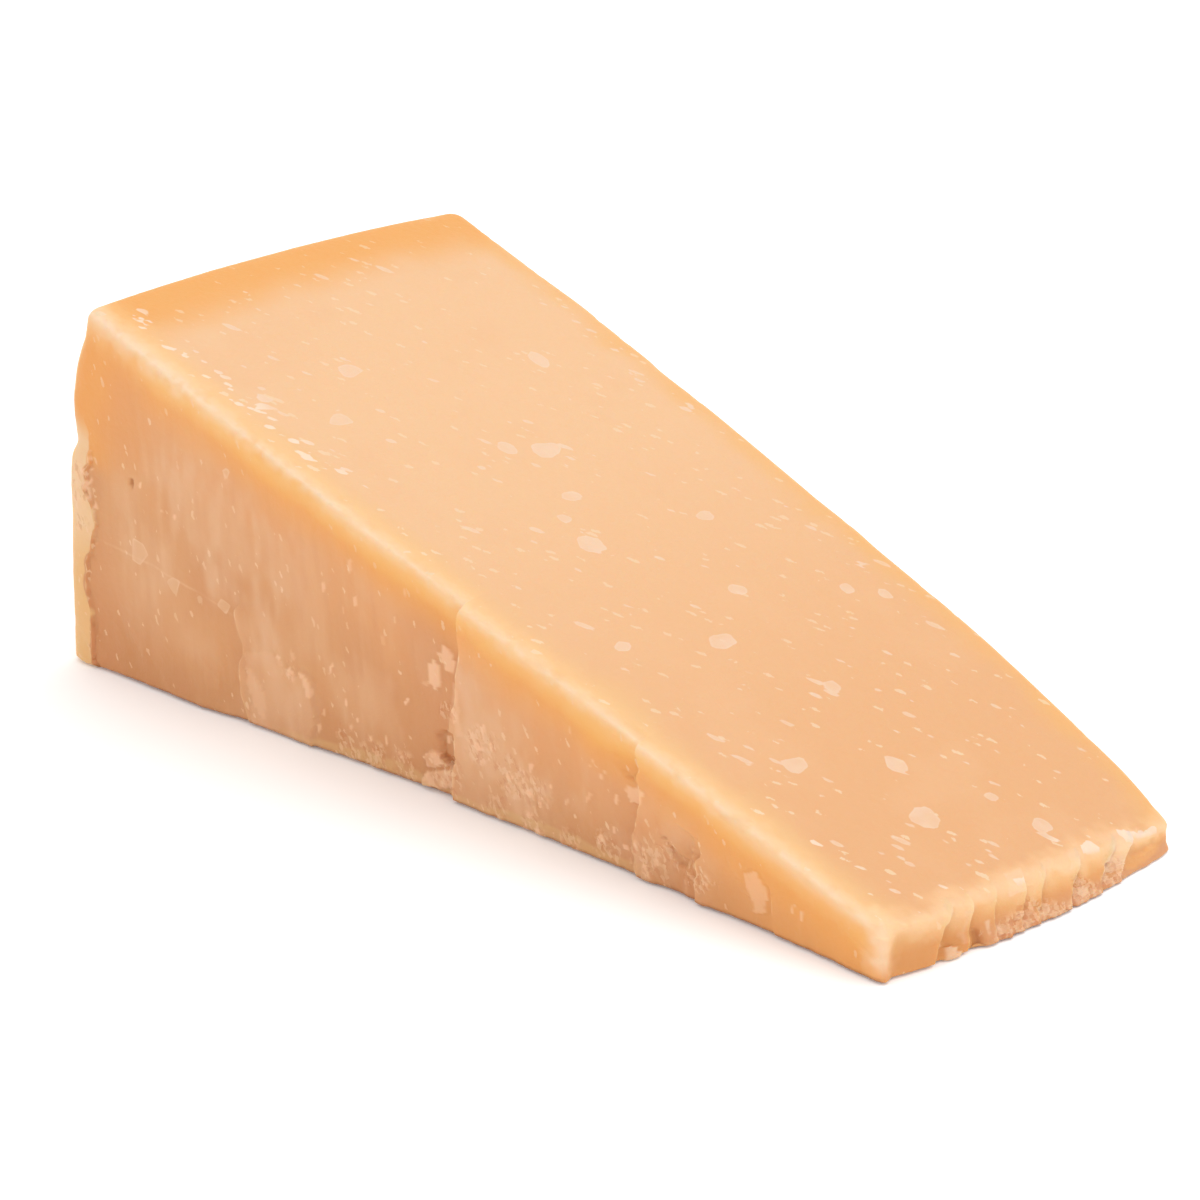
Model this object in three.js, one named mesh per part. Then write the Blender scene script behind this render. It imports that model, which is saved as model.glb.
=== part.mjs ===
// A chunk of hard grating cheese, broken and cut from a drum-shaped wheel.
//
// It lies on one of its two radial cuts. The other radial cut is the sloping top, and the two
// would meet near the wheel's axis. The rind stands at the thick end, the broken crag at the tip.
// While it is made, x runs from the rind to the tip, y from the near side to the far side (along
// the wheel's axis) and z up from the floor. At the end the box is centred on the origin.
// All sizes are in millimetres.

import * as THREE from 'three';

// ---- Driving dimensions -------------------------------------------------------------------

const LENGTH = 180; // rind to tip, along the near side
const CUTS_MEET = 204.5; // where the two radial cuts would meet, from the rind
const TOP_SLOPE = 0.35; // rise of the top cut for each millimetre of length
const RIND_WIDTH = 90.3; // near side to far side, at the rind
const TIP_WIDTH = 64.7; // the same at the tip
const TIP_SKEW = 7.6; // the far corner of the tip reaches this much further
const WHEEL_RADIUS = 225; // of the rind's arc
const RIND_BULGE = 2.2; // the wheel's side is a barrel
const TOP_DROOP = { near: 0.35, far: 1.85, from: 140, over: 50 }; // the top sags to the tip

// How far the rounding of each edge reaches over its faces.
const ROUND = {
  rind: 4.5,
  tip: 2,
  sides: [2.8, 2], // [at the rind, at the tip]
  top: [3, 1.5],
  bottom: [1, 0.8],
};

// A break in a side: the plate past it stands proud of the one before by the jump. The line
// leans (mm for each mm up), is jagged, and dies out above the height `top`.
const RIND_LIP = { at: 7, lean: -0.01, jump: 0.9, top: 43, jag: 1.5 };
const NEAR_BREAKS = [
  { at: 45, lean: -0.01, jump: 0.55, top: 24, run: 30, jag: 0.8 },
  { at: 92.7, lean: 0.14, jump: 1.25, top: 60, run: 26, jag: 0.8 },
  { at: 132.3, lean: 0.12, jump: 0.8, top: 60, run: 9, jag: 0.8 },
  { at: 144.4, lean: 0.1, jump: 0.75, top: 12.5, run: 13, jag: 0.8 },
  { at: 159.4, lean: 0, jump: 0.35, top: 9, run: 12, jag: 0.5 },
];
const FAR_BREAKS = [
  { at: 40, lean: 0.05, jump: 1.5, top: 49, run: 20, jag: 0.8 },
  { at: 69, lean: -0.06, jump: 1, top: 30, run: 22, jag: 0.8 },
  { at: 112, lean: 0.08, jump: 0.9, top: 26, run: 26, jag: 0.8 },
  { at: 151, lean: 0, jump: 0.6, top: 13, run: 18, jag: 0.8 },
];

const PLATE_DEPTH = 8; // the plates move only what lies this close to their side

// The tip is a row of crags. Each ends at a ridge, and the next one starts a step further back.
const RIDGES = [
  { head: 14.4, foot: 9.3, step: 1.8 }, // y at the top edge, y on the floor, step
  { head: 18.2, foot: 16.2, step: 1.6 },
  { head: 25, foot: 21, step: 0.6 },
  { head: 30.8, foot: 26.9, step: 0.9 },
  { head: 35.4, foot: 30.3, step: 1 },
  { head: 43.8, foot: 37.2, step: 1.4 },
  { head: 52.7, foot: 44.6, step: 1 },
  { head: 56, foot: 49.8, step: 1.1 },
];

// Spacing of the grid that covers the chunk.
const ALONG = 7.5;
const ACROSS = 6.5;
const UPWARD = 0.125; // part of the height
const ROUND_STEPS = 3; // on half a rounded edge
const BREAK_GAP = 0.3; // the two grid lines of a break lie this far apart

const CHEESE = { color: 0xf3bd85, roughness: 0.55, metalness: 0 };

// ---- Small maths --------------------------------------------------------------------------

const clamp = (v, low, high) => Math.min(high, Math.max(low, v));
const mix = (a, b, t) => a + (b - a) * t;
const smooth = (v) => {
  const t = clamp(v, 0, 1);
  return t * t * (3 - 2 * t);
};
const hump = (t) => 4 * clamp(t, 0, 1) * (1 - clamp(t, 0, 1)); // 0 at both ends, 1 half way

// A repeatable number from 0 to 1 for a corner of the noise lattice.
function latticeValue(i, j, seed) {
  let h = Math.imul(i, 374761393) + Math.imul(j, 668265263) + Math.imul(seed, -1028477379);
  h = Math.imul(h ^ (h >>> 13), 1274126177);
  return ((h ^ (h >>> 16)) >>> 0) / 4294967295;
}

// Smooth noise from -1 to 1 with cells one unit wide.
function noise(x, y, seed) {
  const i = Math.floor(x);
  const j = Math.floor(y);
  const u = smooth(x - i);
  const v = smooth(y - j);
  const low = mix(latticeValue(i, j, seed), latticeValue(i + 1, j, seed), u);
  const high = mix(latticeValue(i, j + 1, seed), latticeValue(i + 1, j + 1, seed), u);
  return 2 * mix(low, high, v) - 1;
}

const jag = (z, seed) => noise(z / 5, 0, seed) + 0.5 * noise(z / 1.9, 0, seed + 50);

// The value at y on a line through the points (xs, ys).
function between(y, xs, ys) {
  let k = 1;
  while (k < xs.length - 1 && y > xs[k]) k += 1;
  return mix(ys[k - 1], ys[k], clamp((y - xs[k - 1]) / (xs[k] - xs[k - 1]), 0, 1));
}

// ---- The six faces ------------------------------------------------------------------------

// Height of the top cut.
function topHeight(x, y) {
  const across = clamp(y / TIP_WIDTH, 0, 1);
  const sag = mix(TOP_DROOP.near, TOP_DROOP.far, across ** 2);
  return (CUTS_MEET - x) * TOP_SLOPE - sag * smooth((x - TOP_DROOP.from) / TOP_DROOP.over);
}

// How far the broken plates stand out of a side: a small sink before each break, proud after it.
function plates(x, z, breaks) {
  const sinkOver = 18;
  const fadeOver = 5;
  let out = 0;
  for (const { at, jump, top, run } of breaks) {
    const ahead = x - at;
    const stands = ahead > 0
      ? 0.4 * jump * (1 - smooth(ahead / run))
      : -0.6 * jump * (1 - smooth(-ahead / sinkOver));
    out += stands * (1 - smooth((z - top) / fadeOver + 0.8));
  }
  return out;
}

// The strip of rind that stands out at the thick end of the near side.
function rindLip(x, z) {
  return x < RIND_LIP.at ? RIND_LIP.jump * (1 - smooth((z - RIND_LIP.top + 3) / 4)) : 0;
}

// y of the near side without its plates: hollow along the floor, bowed out along the top edge.
function nearSide(x, up) {
  const t = clamp(x / LENGTH, 0, 1);
  const foot = 1.2 * smooth(1 - Math.abs(x - 32) / 26) * (1 - up);
  return hump(t) * (2.6 - 3.9 * up) - 1.5 * (1 - t) ** 2 - 0.4 - foot;
}

// y of the far side without its plates: it closes in towards the tip, with a bow.
function farSide(x, up) {
  const t = clamp(x / (LENGTH + TIP_SKEW), 0, 1);
  const shoulder = 1.2 * smooth(1 - Math.abs(x - 146) / 42);
  const turnIn = 0.5 * smooth((40 - x) / 20) + 1.8 * smooth((x - 168) / 14);
  return mix(RIND_WIDTH, TIP_WIDTH, t) + hump(t) * (1.8 + 2.8 * up) + shoulder - turnIn;
}

// x of the rind: the wheel's arc, with a low shelf that is strongest at the near side.
function rindEnd(across, z) {
  const arc = WHEEL_RADIUS - Math.sqrt(WHEEL_RADIUS ** 2 - z ** 2);
  const shelf = 1.1 * smooth((44 - z) / 5) * mix(0.25, 1, smooth((z - 26) / 12));
  const shoulder = 1.3 * smooth((z - 40) / 12) + 0.9 * hump((z - 44) / 20);
  const swell = RIND_BULGE * hump(across) + 1.7 * across + shoulder;
  return arc - 0.5 - swell - shelf * (1 - 0.6 * smooth(3 * across));
}

// How far the crags stand out of the tip, at y across it. They are weak on the floor.
function crags(y, up) {
  const heads = [0, ...RIDGES.map((r) => r.head), TIP_WIDTH];
  const steps = [0, ...RIDGES.map((r) => r.step), 0];
  let k = 1;
  while (k < heads.length - 1 && y > heads[k]) k += 1;
  const wide = heads[k] - heads[k - 1];
  const t = (y - heads[k - 1]) / wide;
  const stands = mix(-steps[k - 1] / 2, steps[k] / 2, t) + 0.4 * Math.min(1, wide / 12) * hump(t);
  return stands * mix(0.35, 1, smooth(up / 0.4));
}

// How far the tip reaches, at y across it, without its crags: the top edge lies further back
// than the foot, apart from the near corner.
function tipReach(y, up) {
  const across = clamp(y / TIP_WIDTH, 0, 1);
  const foot = 0.6 * (1 - smooth(up / 0.4));
  const reach = TIP_SKEW * across + 1.9 * hump(across) + foot;
  const nearCorner = 1.4 * (1 - smooth((y - 14) / 9)) * smooth(y / 4);
  const lean = 2.4 * smooth((y - 15) / 9) * mix(1, 0.15, smooth((y - 50) / 12));
  return reach - nearCorner - lean * smooth((up - 0.1) / 1.1);
}

// ---- From a rounded box to the chunk ------------------------------------------------------

// Grid lines over one side of the box. Each has t, from 0 to 1 between the rounded edges, and
// e, which runs from -1 to 0 over the first rounded edge and from 0 to 1 over the last.
function gridLines(low, high, marks, spacing) {
  const lines = [];
  const turn = (k) => Math.tan((Math.PI / 4) * (k / ROUND_STEPS));
  for (let k = ROUND_STEPS; k > 0; k -= 1) lines.push({ t: 0, e: -turn(k) });
  lines.push({ t: 0, e: 0 });
  const stops = [low, ...marks, high];
  for (let s = 1; s < stops.length; s += 1) {
    const parts = Math.max(1, Math.round((stops[s] - stops[s - 1]) / spacing));
    for (let k = 1; k <= parts; k += 1) {
      const at = mix(stops[s - 1], stops[s], k / parts);
      lines.push({ t: (at - low) / (high - low), e: 0 });
    }
  }
  for (let k = 1; k <= ROUND_STEPS; k += 1) lines.push({ t: 1, e: turn(k) });
  return lines;
}

// The chunk's point for one grid line along (a), one across (b) and one up (c).
function place(a, b, c) {
  const n = new THREE.Vector3(a.e, b.e, c.e).normalize();
  const boxX = mix(ROUND.rind, LENGTH - ROUND.tip, a.t) + n.x * (n.x < 0 ? ROUND.rind : ROUND.tip);
  const t = boxX / LENGTH;
  const side = mix(...ROUND.sides, t);
  const bottom = mix(...ROUND.bottom, t);
  const top = mix(...ROUND.top, t);
  const width = mix(RIND_WIDTH, TIP_WIDTH, t);
  const height = (CUTS_MEET - boxX) * TOP_SLOPE;
  const boxY = mix(side, width - side, b.t) + n.y * side;
  const boxZ = mix(bottom, height - top, c.t) + n.z * (n.z < 0 ? bottom : top);
  const across = boxY / width;
  const up = boxZ / height;

  // Lengthwise: the rind's arc, the tip's crags and the jagged lines of the breaks.
  const tipY = across * TIP_WIDTH;
  let x = boxX + rindEnd(across, boxZ) * (1 - t) ** 2;
  x += tipReach(tipY, up) * smooth(1 - (LENGTH - boxX) / 40);
  x += crags(tipY, up) * smooth(1.4 * n.x);
  const jagged = (list, face, seed, fade) => list.forEach(({ at, lean, jag: size }, m) => {
    const reach = smooth(1 - Math.abs(boxX - at) / fade) * smooth(2 * face - 1);
    x += (lean * boxZ + size * jag(boxZ, seed + m)) * reach;
  });
  jagged([RIND_LIP], 1 - across, 11, 7);
  jagged(NEAR_BREAKS, 1 - across, 12, 9);
  jagged(FAR_BREAKS, across, 31, 9);

  // Across: at the tip the ridges slant from the top edge down to their feet, less and less.
  const heads = [0, ...RIDGES.map((r) => r.head), TIP_WIDTH];
  const shifts = [0, ...RIDGES.map((r) => r.foot - r.head), 0];
  const waver = 0.5 * noise(boxZ / 2.2, tipY / 6, 77);
  const inside = clamp(Math.min(tipY, TIP_WIDTH - tipY) / 4, 0, 1);
  const slant = between(tipY, heads, shifts) * (1 - clamp(up, 0, 1) ** 2.5) + waver * inside;
  const warpedY = boxY + slant * smooth(1 - (LENGTH - boxX) / 12);
  let y = mix(nearSide(boxX, up), farSide(boxX, up), warpedY / width);
  const nearPlates = plates(boxX, boxZ, NEAR_BREAKS) + rindLip(boxX, boxZ);
  y -= nearPlates * smooth(1 - boxY / PLATE_DEPTH);
  y += plates(boxX, boxZ, FAR_BREAKS) * smooth(1 - (width - boxY) / PLATE_DEPTH);

  return [x, y, up * topHeight(x, across * width)];
}

// ---- The closed surface -------------------------------------------------------------------

function breakPairs(values) {
  const sorted = [...values].sort((p, q) => p - q);
  return sorted.flatMap((v) => [v - BREAK_GAP / 2, v + BREAK_GAP / 2]);
}

function chunkGeometry() {
  const breaks = [RIND_LIP, ...NEAR_BREAKS, ...FAR_BREAKS].map((b) => b.at);
  const along = gridLines(ROUND.rind, LENGTH - ROUND.tip, breakPairs(breaks), ALONG);
  const tipRound = ROUND.sides[1];
  const heads = breakPairs(RIDGES.map((r) => r.head));
  const across = gridLines(tipRound, TIP_WIDTH - tipRound, heads, ACROSS);
  const upward = gridLines(0, 1, [], UPWARD);
  const last = { i: along.length - 1, j: across.length - 1, k: upward.length - 1 };

  // Every point of the box's surface is made once and shared by the faces that meet there.
  const positions = [];
  const numbers = new Map();
  const point = (i, j, k) => {
    const key = `${i} ${j} ${k}`;
    if (!numbers.has(key)) {
      numbers.set(key, positions.length / 3);
      positions.push(...place(along[i], across[j], upward[k]));
    }
    return numbers.get(key);
  };

  // One face is a grid of squares; `at` gives its points, seen from outside with u to the
  // right and v up.
  const triangles = [];
  const face = (uCount, vCount, at) => {
    for (let u = 0; u < uCount; u += 1) {
      for (let v = 0; v < vCount; v += 1) {
        const [p, q, r, s] = [at(u, v), at(u + 1, v), at(u + 1, v + 1), at(u, v + 1)];
        triangles.push(p, q, r, p, r, s);
      }
    }
  };
  face(last.i, last.j, (u, v) => point(u, v, last.k)); // top
  face(last.i, last.j, (u, v) => point(u, last.j - v, 0)); // bottom
  face(last.i, last.k, (u, v) => point(u, 0, v)); // near side
  face(last.i, last.k, (u, v) => point(last.i - u, last.j, v)); // far side
  face(last.j, last.k, (u, v) => point(last.i, u, v)); // tip
  face(last.j, last.k, (u, v) => point(0, last.j - u, v)); // rind

  const geometry = new THREE.BufferGeometry();
  geometry.setAttribute('position', new THREE.Float32BufferAttribute(positions, 3));
  geometry.setIndex(triangles);
  geometry.computeBoundingBox();
  const middle = geometry.boundingBox.getCenter(new THREE.Vector3());
  geometry.translate(-middle.x, -middle.y, 0);
  geometry.computeVertexNormals();
  return geometry;
}

const chunk = new THREE.Mesh(chunkGeometry(), new THREE.MeshStandardMaterial(CHEESE));
chunk.name = 'cheese_chunk';

const group = new THREE.Group();
group.add(chunk);

export default group;
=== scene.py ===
# %% [markdown]
# # A chunk of hard grating cheese
#
# The real thing is a wedge broken and cut out of a drum-shaped wheel that has ripened for a year
# or more. It lies on one cut face. The other cut is the sloping top, the rind stands at the thick
# end, and the thin tip is a broken crag. The paste is dense, grainy and a little see-through, so
# light creeps in at the edges and they glow orange and cream.
#
# This lesson makes it in four steps: one closed skin from a rounded box, relief pressed into that
# skin, a paste material worked out from how deep each point lies under its faces, and plain
# studio light. A sculpted mesh would do as well, but a formula can be read and changed.

# %% Tools and the frame
import math

import bpy
import numpy as np
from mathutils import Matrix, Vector


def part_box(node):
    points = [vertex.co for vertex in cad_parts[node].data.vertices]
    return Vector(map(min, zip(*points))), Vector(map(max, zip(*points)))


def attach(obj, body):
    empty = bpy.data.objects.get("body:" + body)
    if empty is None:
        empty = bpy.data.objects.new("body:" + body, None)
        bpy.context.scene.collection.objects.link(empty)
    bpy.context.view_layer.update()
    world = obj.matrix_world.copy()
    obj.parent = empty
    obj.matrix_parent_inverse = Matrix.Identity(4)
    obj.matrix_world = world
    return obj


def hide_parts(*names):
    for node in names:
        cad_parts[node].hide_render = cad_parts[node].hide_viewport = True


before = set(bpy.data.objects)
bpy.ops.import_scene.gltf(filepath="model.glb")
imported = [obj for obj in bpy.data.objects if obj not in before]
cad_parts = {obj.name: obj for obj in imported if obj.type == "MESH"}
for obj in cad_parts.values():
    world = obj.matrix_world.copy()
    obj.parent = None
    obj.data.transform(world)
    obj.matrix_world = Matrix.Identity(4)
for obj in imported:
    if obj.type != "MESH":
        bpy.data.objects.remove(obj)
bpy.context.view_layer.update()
CHUNK_NODE = "cheese_chunk"
MM = 0.001
node_low, node_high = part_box(CHUNK_NODE)
print("the solid measures, mm:", [round(v / MM, 1) for v in node_high - node_low])

# %% [markdown]
# ## The driving sizes
#
# While the chunk is made, x runs from the rind to the tip, y from the near side to the far side
# and z up, all in millimetres. The top height is a straight slope: the two cuts would meet close
# to the wheel's axis. These are the sizes of the solid, so the skin fits it.

# %% Sizes
LENGTH = 180.0  # rind to tip, along the near side
CUTS_MEET = 204.5  # where the two cuts would meet, from the rind
TOP_SLOPE = 0.35
RIND_WIDTH = 90.3  # near side to far side, at the rind
TIP_WIDTH = 64.7
TIP_SKEW = 7.6  # the far corner of the tip reaches this much further
WHEEL_RADIUS = 225.0
RIND_BULGE = 2.2
ROUND_RIND, ROUND_TIP = 4.5, 2.0  # how far each rounded edge reaches
# The next ones change along the chunk: at the rind, at the tip.
ROUND_SIDES, ROUND_TOP, ROUND_BOTTOM = (2.8, 2.0), (3.0, 1.5), (1.0, 0.8)
print("height at the rind, mm:", round(CUTS_MEET * TOP_SLOPE, 1))

# %% [markdown]
# ## Breaks and ridges
#
# Cheese this hard is split with a blunt knife, so its sides break in plates. A break is a line up
# a side: it lies `at` a distance from the rind, leans by so many millimetres for each one up, and
# past it the plate stands proud by `jump`. Above `top` it dies out, after `run` it has sunk back,
# and `jag` says how jagged it is. The tip broke in crags in the same way.


# %% Breaks and ridges
def line_of_break(at, lean, jump, top, run, jag):
    return {"at": at, "lean": lean, "jump": jump, "top": top, "run": run, "jag": jag}


RIND_LIP = line_of_break(7.0, -0.01, 0.9, 43.0, 9.0, 1.5)
NEAR_BREAKS = [
    line_of_break(45.0, -0.01, 0.55, 24.0, 30.0, 0.8),
    line_of_break(92.7, 0.14, 1.25, 60.0, 26.0, 0.8),
    line_of_break(132.3, 0.12, 0.8, 60.0, 9.0, 0.8),
    line_of_break(144.4, 0.1, 0.75, 12.5, 13.0, 0.8),
    line_of_break(159.4, 0.0, 0.35, 9.0, 12.0, 0.5),
]
FAR_BREAKS = [
    line_of_break(40.0, 0.05, 1.5, 49.0, 20.0, 0.8),
    line_of_break(69.0, -0.06, 1.0, 30.0, 22.0, 0.8),
    line_of_break(112.0, 0.08, 0.9, 26.0, 26.0, 0.8),
    line_of_break(151.0, 0.0, 0.6, 13.0, 18.0, 0.8),
]
# Crags of the tip: y of a ridge at the top edge, y at its foot, and the step back behind it.
RIDGES = [
    (14.4, 9.3, 1.8),
    (18.2, 16.2, 1.6),
    (25.0, 21.0, 0.6),
    (30.8, 26.9, 0.9),
    (35.4, 30.3, 1.0),
    (43.8, 37.2, 1.4),
    (52.7, 44.6, 1.0),
    (56.0, 49.8, 1.1),
]
HEADS = [0.0] + [ridge[0] for ridge in RIDGES] + [TIP_WIDTH]
FEET = [0.0] + [ridge[1] for ridge in RIDGES] + [TIP_WIDTH]
STEPS = [0.0] + [ridge[2] for ridge in RIDGES] + [0.0]
print("breaks:", len(NEAR_BREAKS), "near,", len(FAR_BREAKS), "far; ridges:", len(RIDGES))

# %% [markdown]
# ## Repeatable roughness
#
# Broken cheese is uneven, but the same chunk has to come out each time. Value noise does that: a
# hash gives every corner of a lattice its own number, and the points between are blended.


# %% Noise
def smooth(value):
    t = np.clip(value, 0.0, 1.0)
    return t * t * (3.0 - 2.0 * t)


def mix(a, b, t):
    return a + (b - a) * t


def hump(t):
    t = np.clip(t, 0.0, 1.0)
    return 4.0 * t * (1.0 - t)


def lattice_value(i, j, k, seed):
    h = i * np.uint32(374761393) + j * np.uint32(668265263) + k * np.uint32(2246822519)
    h = h + np.uint32(seed * 3266489917 % 2**32)
    h = (h ^ (h >> np.uint32(13))) * np.uint32(1274126177)
    return (h ^ (h >> np.uint32(16))) / 4294967295.0


def noise(x, y=0.0, seed=0, z=0.0):
    """Smooth noise from -1 to 1, with lattice cells one unit wide."""
    spots = np.broadcast_arrays(np.asarray(x, float), y, z)
    floors = [np.floor(spot) for spot in spots]
    cells = [f.astype(np.int64).astype(np.uint32) for f in floors]
    u, v, w = (smooth(spot - f) for spot, f in zip(spots, floors))
    one = np.uint32(1)
    total = 0.0
    for layer, share in ((cells[2], 1.0 - w), (cells[2] + one, w)):
        low = mix(lattice_value(cells[0], cells[1], layer, seed),
                  lattice_value(cells[0] + one, cells[1], layer, seed), u)
        high = mix(lattice_value(cells[0], cells[1] + one, layer, seed),
                   lattice_value(cells[0] + one, cells[1] + one, layer, seed), u)
        total = total + share * mix(low, high, v)
    return 2.0 * total - 1.0


def jag(z, seed):
    return noise(z / 5.0, 0.0, seed) + 0.5 * noise(z / 1.9, 0.0, seed + 50)


def cells(u, v, seed):
    """Splits a surface into cells round scattered points: the random number of each place's cell,
    from 0 to 1, and how far the place is from the cell's border."""
    floor_u, floor_v, flat = np.floor(u), np.floor(v), np.uint32(0)
    nearest, next_nearest = np.full(np.shape(u), 9.0), np.full(np.shape(u), 9.0)
    luck = np.zeros(np.shape(u))
    for du in (-1, 0, 1):
        for dv in (-1, 0, 1):
            i = (floor_u + du).astype(np.int64).astype(np.uint32)
            j = (floor_v + dv).astype(np.int64).astype(np.uint32)
            at_u = floor_u + du + lattice_value(i, j, flat, seed)
            at_v = floor_v + dv + lattice_value(i, j, flat, seed + 1)
            away = np.hypot(u - at_u, v - at_v)
            next_nearest = np.where(away < nearest, nearest, np.minimum(next_nearest, away))
            luck = np.where(away < nearest, lattice_value(i, j, flat, seed + 2), luck)
            nearest = np.minimum(nearest, away)
    return luck, next_nearest - nearest


np.seterr(over="ignore")  # the hash is meant to run over
print("three values of the noise:", noise(np.array([0.5, 1.5, 2.5]), 0.2, 7).round(3))

# %% [markdown]
# ## The six faces
#
# Each face is a height over the box's flat side. The sides broke in plates: past a break the
# plate stands a little proud of the one before and sinks back along its run. The rind follows the
# wheel's arc, and the tip is a row of crags that step back at each ridge.


# %% Faces
def top_height(x, y):
    sag = mix(0.35, 1.85, np.clip(y / TIP_WIDTH, 0, 1) ** 2)
    return (CUTS_MEET - x) * TOP_SLOPE - sag * smooth((x - 140) / 50)


def plates(x, z, breaks):
    out = np.zeros_like(x)
    for b in breaks:
        ahead = x - b["at"]
        proud = 0.4 * b["jump"] * (1 - smooth(ahead / b["run"]))
        sunk = -0.6 * b["jump"] * (1 - smooth(-ahead / 18))
        stands = np.where(ahead > 0, proud, sunk)
        out += stands * (1 - smooth((z - b["top"]) / 5 + 0.8))
    return out


def rind_lip(x, z):
    fades = 1 - smooth((z - RIND_LIP["top"] + 3) / 4)
    return np.where(x < RIND_LIP["at"], RIND_LIP["jump"] * fades, 0.0)


def near_side(x, up):
    t = np.clip(x / LENGTH, 0, 1)
    foot = 1.2 * smooth(1 - np.abs(x - 32) / 26) * (1 - up)
    return hump(t) * (2.6 - 3.9 * up) - 1.5 * (1 - t) ** 2 - 0.4 - foot


def far_side(x, up):
    t = np.clip(x / (LENGTH + TIP_SKEW), 0, 1)
    shoulder = 1.2 * smooth(1 - np.abs(x - 146) / 42)
    turn_in = 0.5 * smooth((40 - x) / 20) + 1.8 * smooth((x - 168) / 14)
    return mix(RIND_WIDTH, TIP_WIDTH, t) + hump(t) * (1.8 + 2.8 * up) + shoulder - turn_in


def rind_end(across, z):
    arc = WHEEL_RADIUS - np.sqrt(WHEEL_RADIUS**2 - z**2)
    shelf = 1.1 * smooth((44 - z) / 5) * mix(0.25, 1.0, smooth((z - 26) / 12))
    shoulder = 1.3 * smooth((z - 40) / 12) + 0.9 * hump((z - 44) / 20)
    swell = RIND_BULGE * hump(across) + 1.7 * across + shoulder
    return arc - 0.5 - swell - shelf * (1 - 0.6 * smooth(3 * across))


def crags(y, up):
    k = np.clip(np.searchsorted(HEADS, y, side="left"), 1, len(HEADS) - 1)
    heads, steps = np.array(HEADS), np.array(STEPS)
    wide = heads[k] - heads[k - 1]
    t = (y - heads[k - 1]) / wide
    stands = mix(-steps[k - 1] / 2, steps[k] / 2, t) + 0.4 * np.minimum(1, wide / 12) * hump(t)
    return stands * mix(0.35, 1.0, smooth(up / 0.4))


def tip_reach(y, up):
    across = np.clip(y / TIP_WIDTH, 0, 1)
    foot = 0.6 * (1 - smooth(up / 0.4))
    reach = TIP_SKEW * across + 1.9 * hump(across) + foot
    near_corner = 1.4 * (1 - smooth((y - 14) / 9)) * smooth(y / 4)
    lean = 2.4 * smooth((y - 15) / 9) * mix(1, 0.15, smooth((y - 50) / 12))
    return reach - near_corner - lean * smooth((up - 0.1) / 1.1)


halfway = np.array([LENGTH / 2])
print("near side at the floor and at the top edge, halfway, mm:",
      near_side(halfway, 0.0).round(2), near_side(halfway, 1.0).round(2))

# %% [markdown]
# ## One closed skin
#
# The skin could be sculpted, or cut out of a block with Boolean modifiers. Here it is a box whose
# edges are rounded, bent into the chunk, so that it stays one closed mesh of squares. Its grid
# lines run the length, the width and the height, and two of them lie close together on each break
# and each ridge, so the broken edges stay sharp without a dense mesh everywhere.


# %% Grid lines
def pairs(places, gap):
    return [place + side * gap / 2 for place in sorted(places) for side in (-1, 1)]


def grid_lines(low, high, marks, spacing, round_steps):
    """Rows of (t, e): t goes from 0 to 1 between the rounded edges, e from -1 to 1 over them."""
    turn = [math.tan(math.pi / 4 * k / round_steps) for k in range(round_steps + 1)]
    lines = [(0.0, -e) for e in turn[:0:-1]] + [(0.0, 0.0)]
    stops = [low] + list(marks) + [high]
    for start, end in zip(stops, stops[1:]):
        parts = max(1, math.floor((end - start) / spacing + 0.5))
        for k in range(1, parts + 1):
            lines.append(((mix(start, end, k / parts) - low) / (high - low), 0.0))
    return np.array(lines + [(1.0, e) for e in turn[1:]])


print("grid lines on a side of 10 mm:", len(grid_lines(0.0, 10.0, pairs([5.0], 0.2), 2.0, 3)))

# %% [markdown]
# Every point starts on the rounded box. Lengthwise it then gets the rind's arc, the tip's crags
# and the jagged lines of the breaks. Across, the two sides set how far out it lies, and at the
# tip the ridges slant down to their feet. Last it gets its height. The function also keeps what
# is known at each point, such as how deep it lies under each face, because the relief and the
# colours need it.


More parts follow.
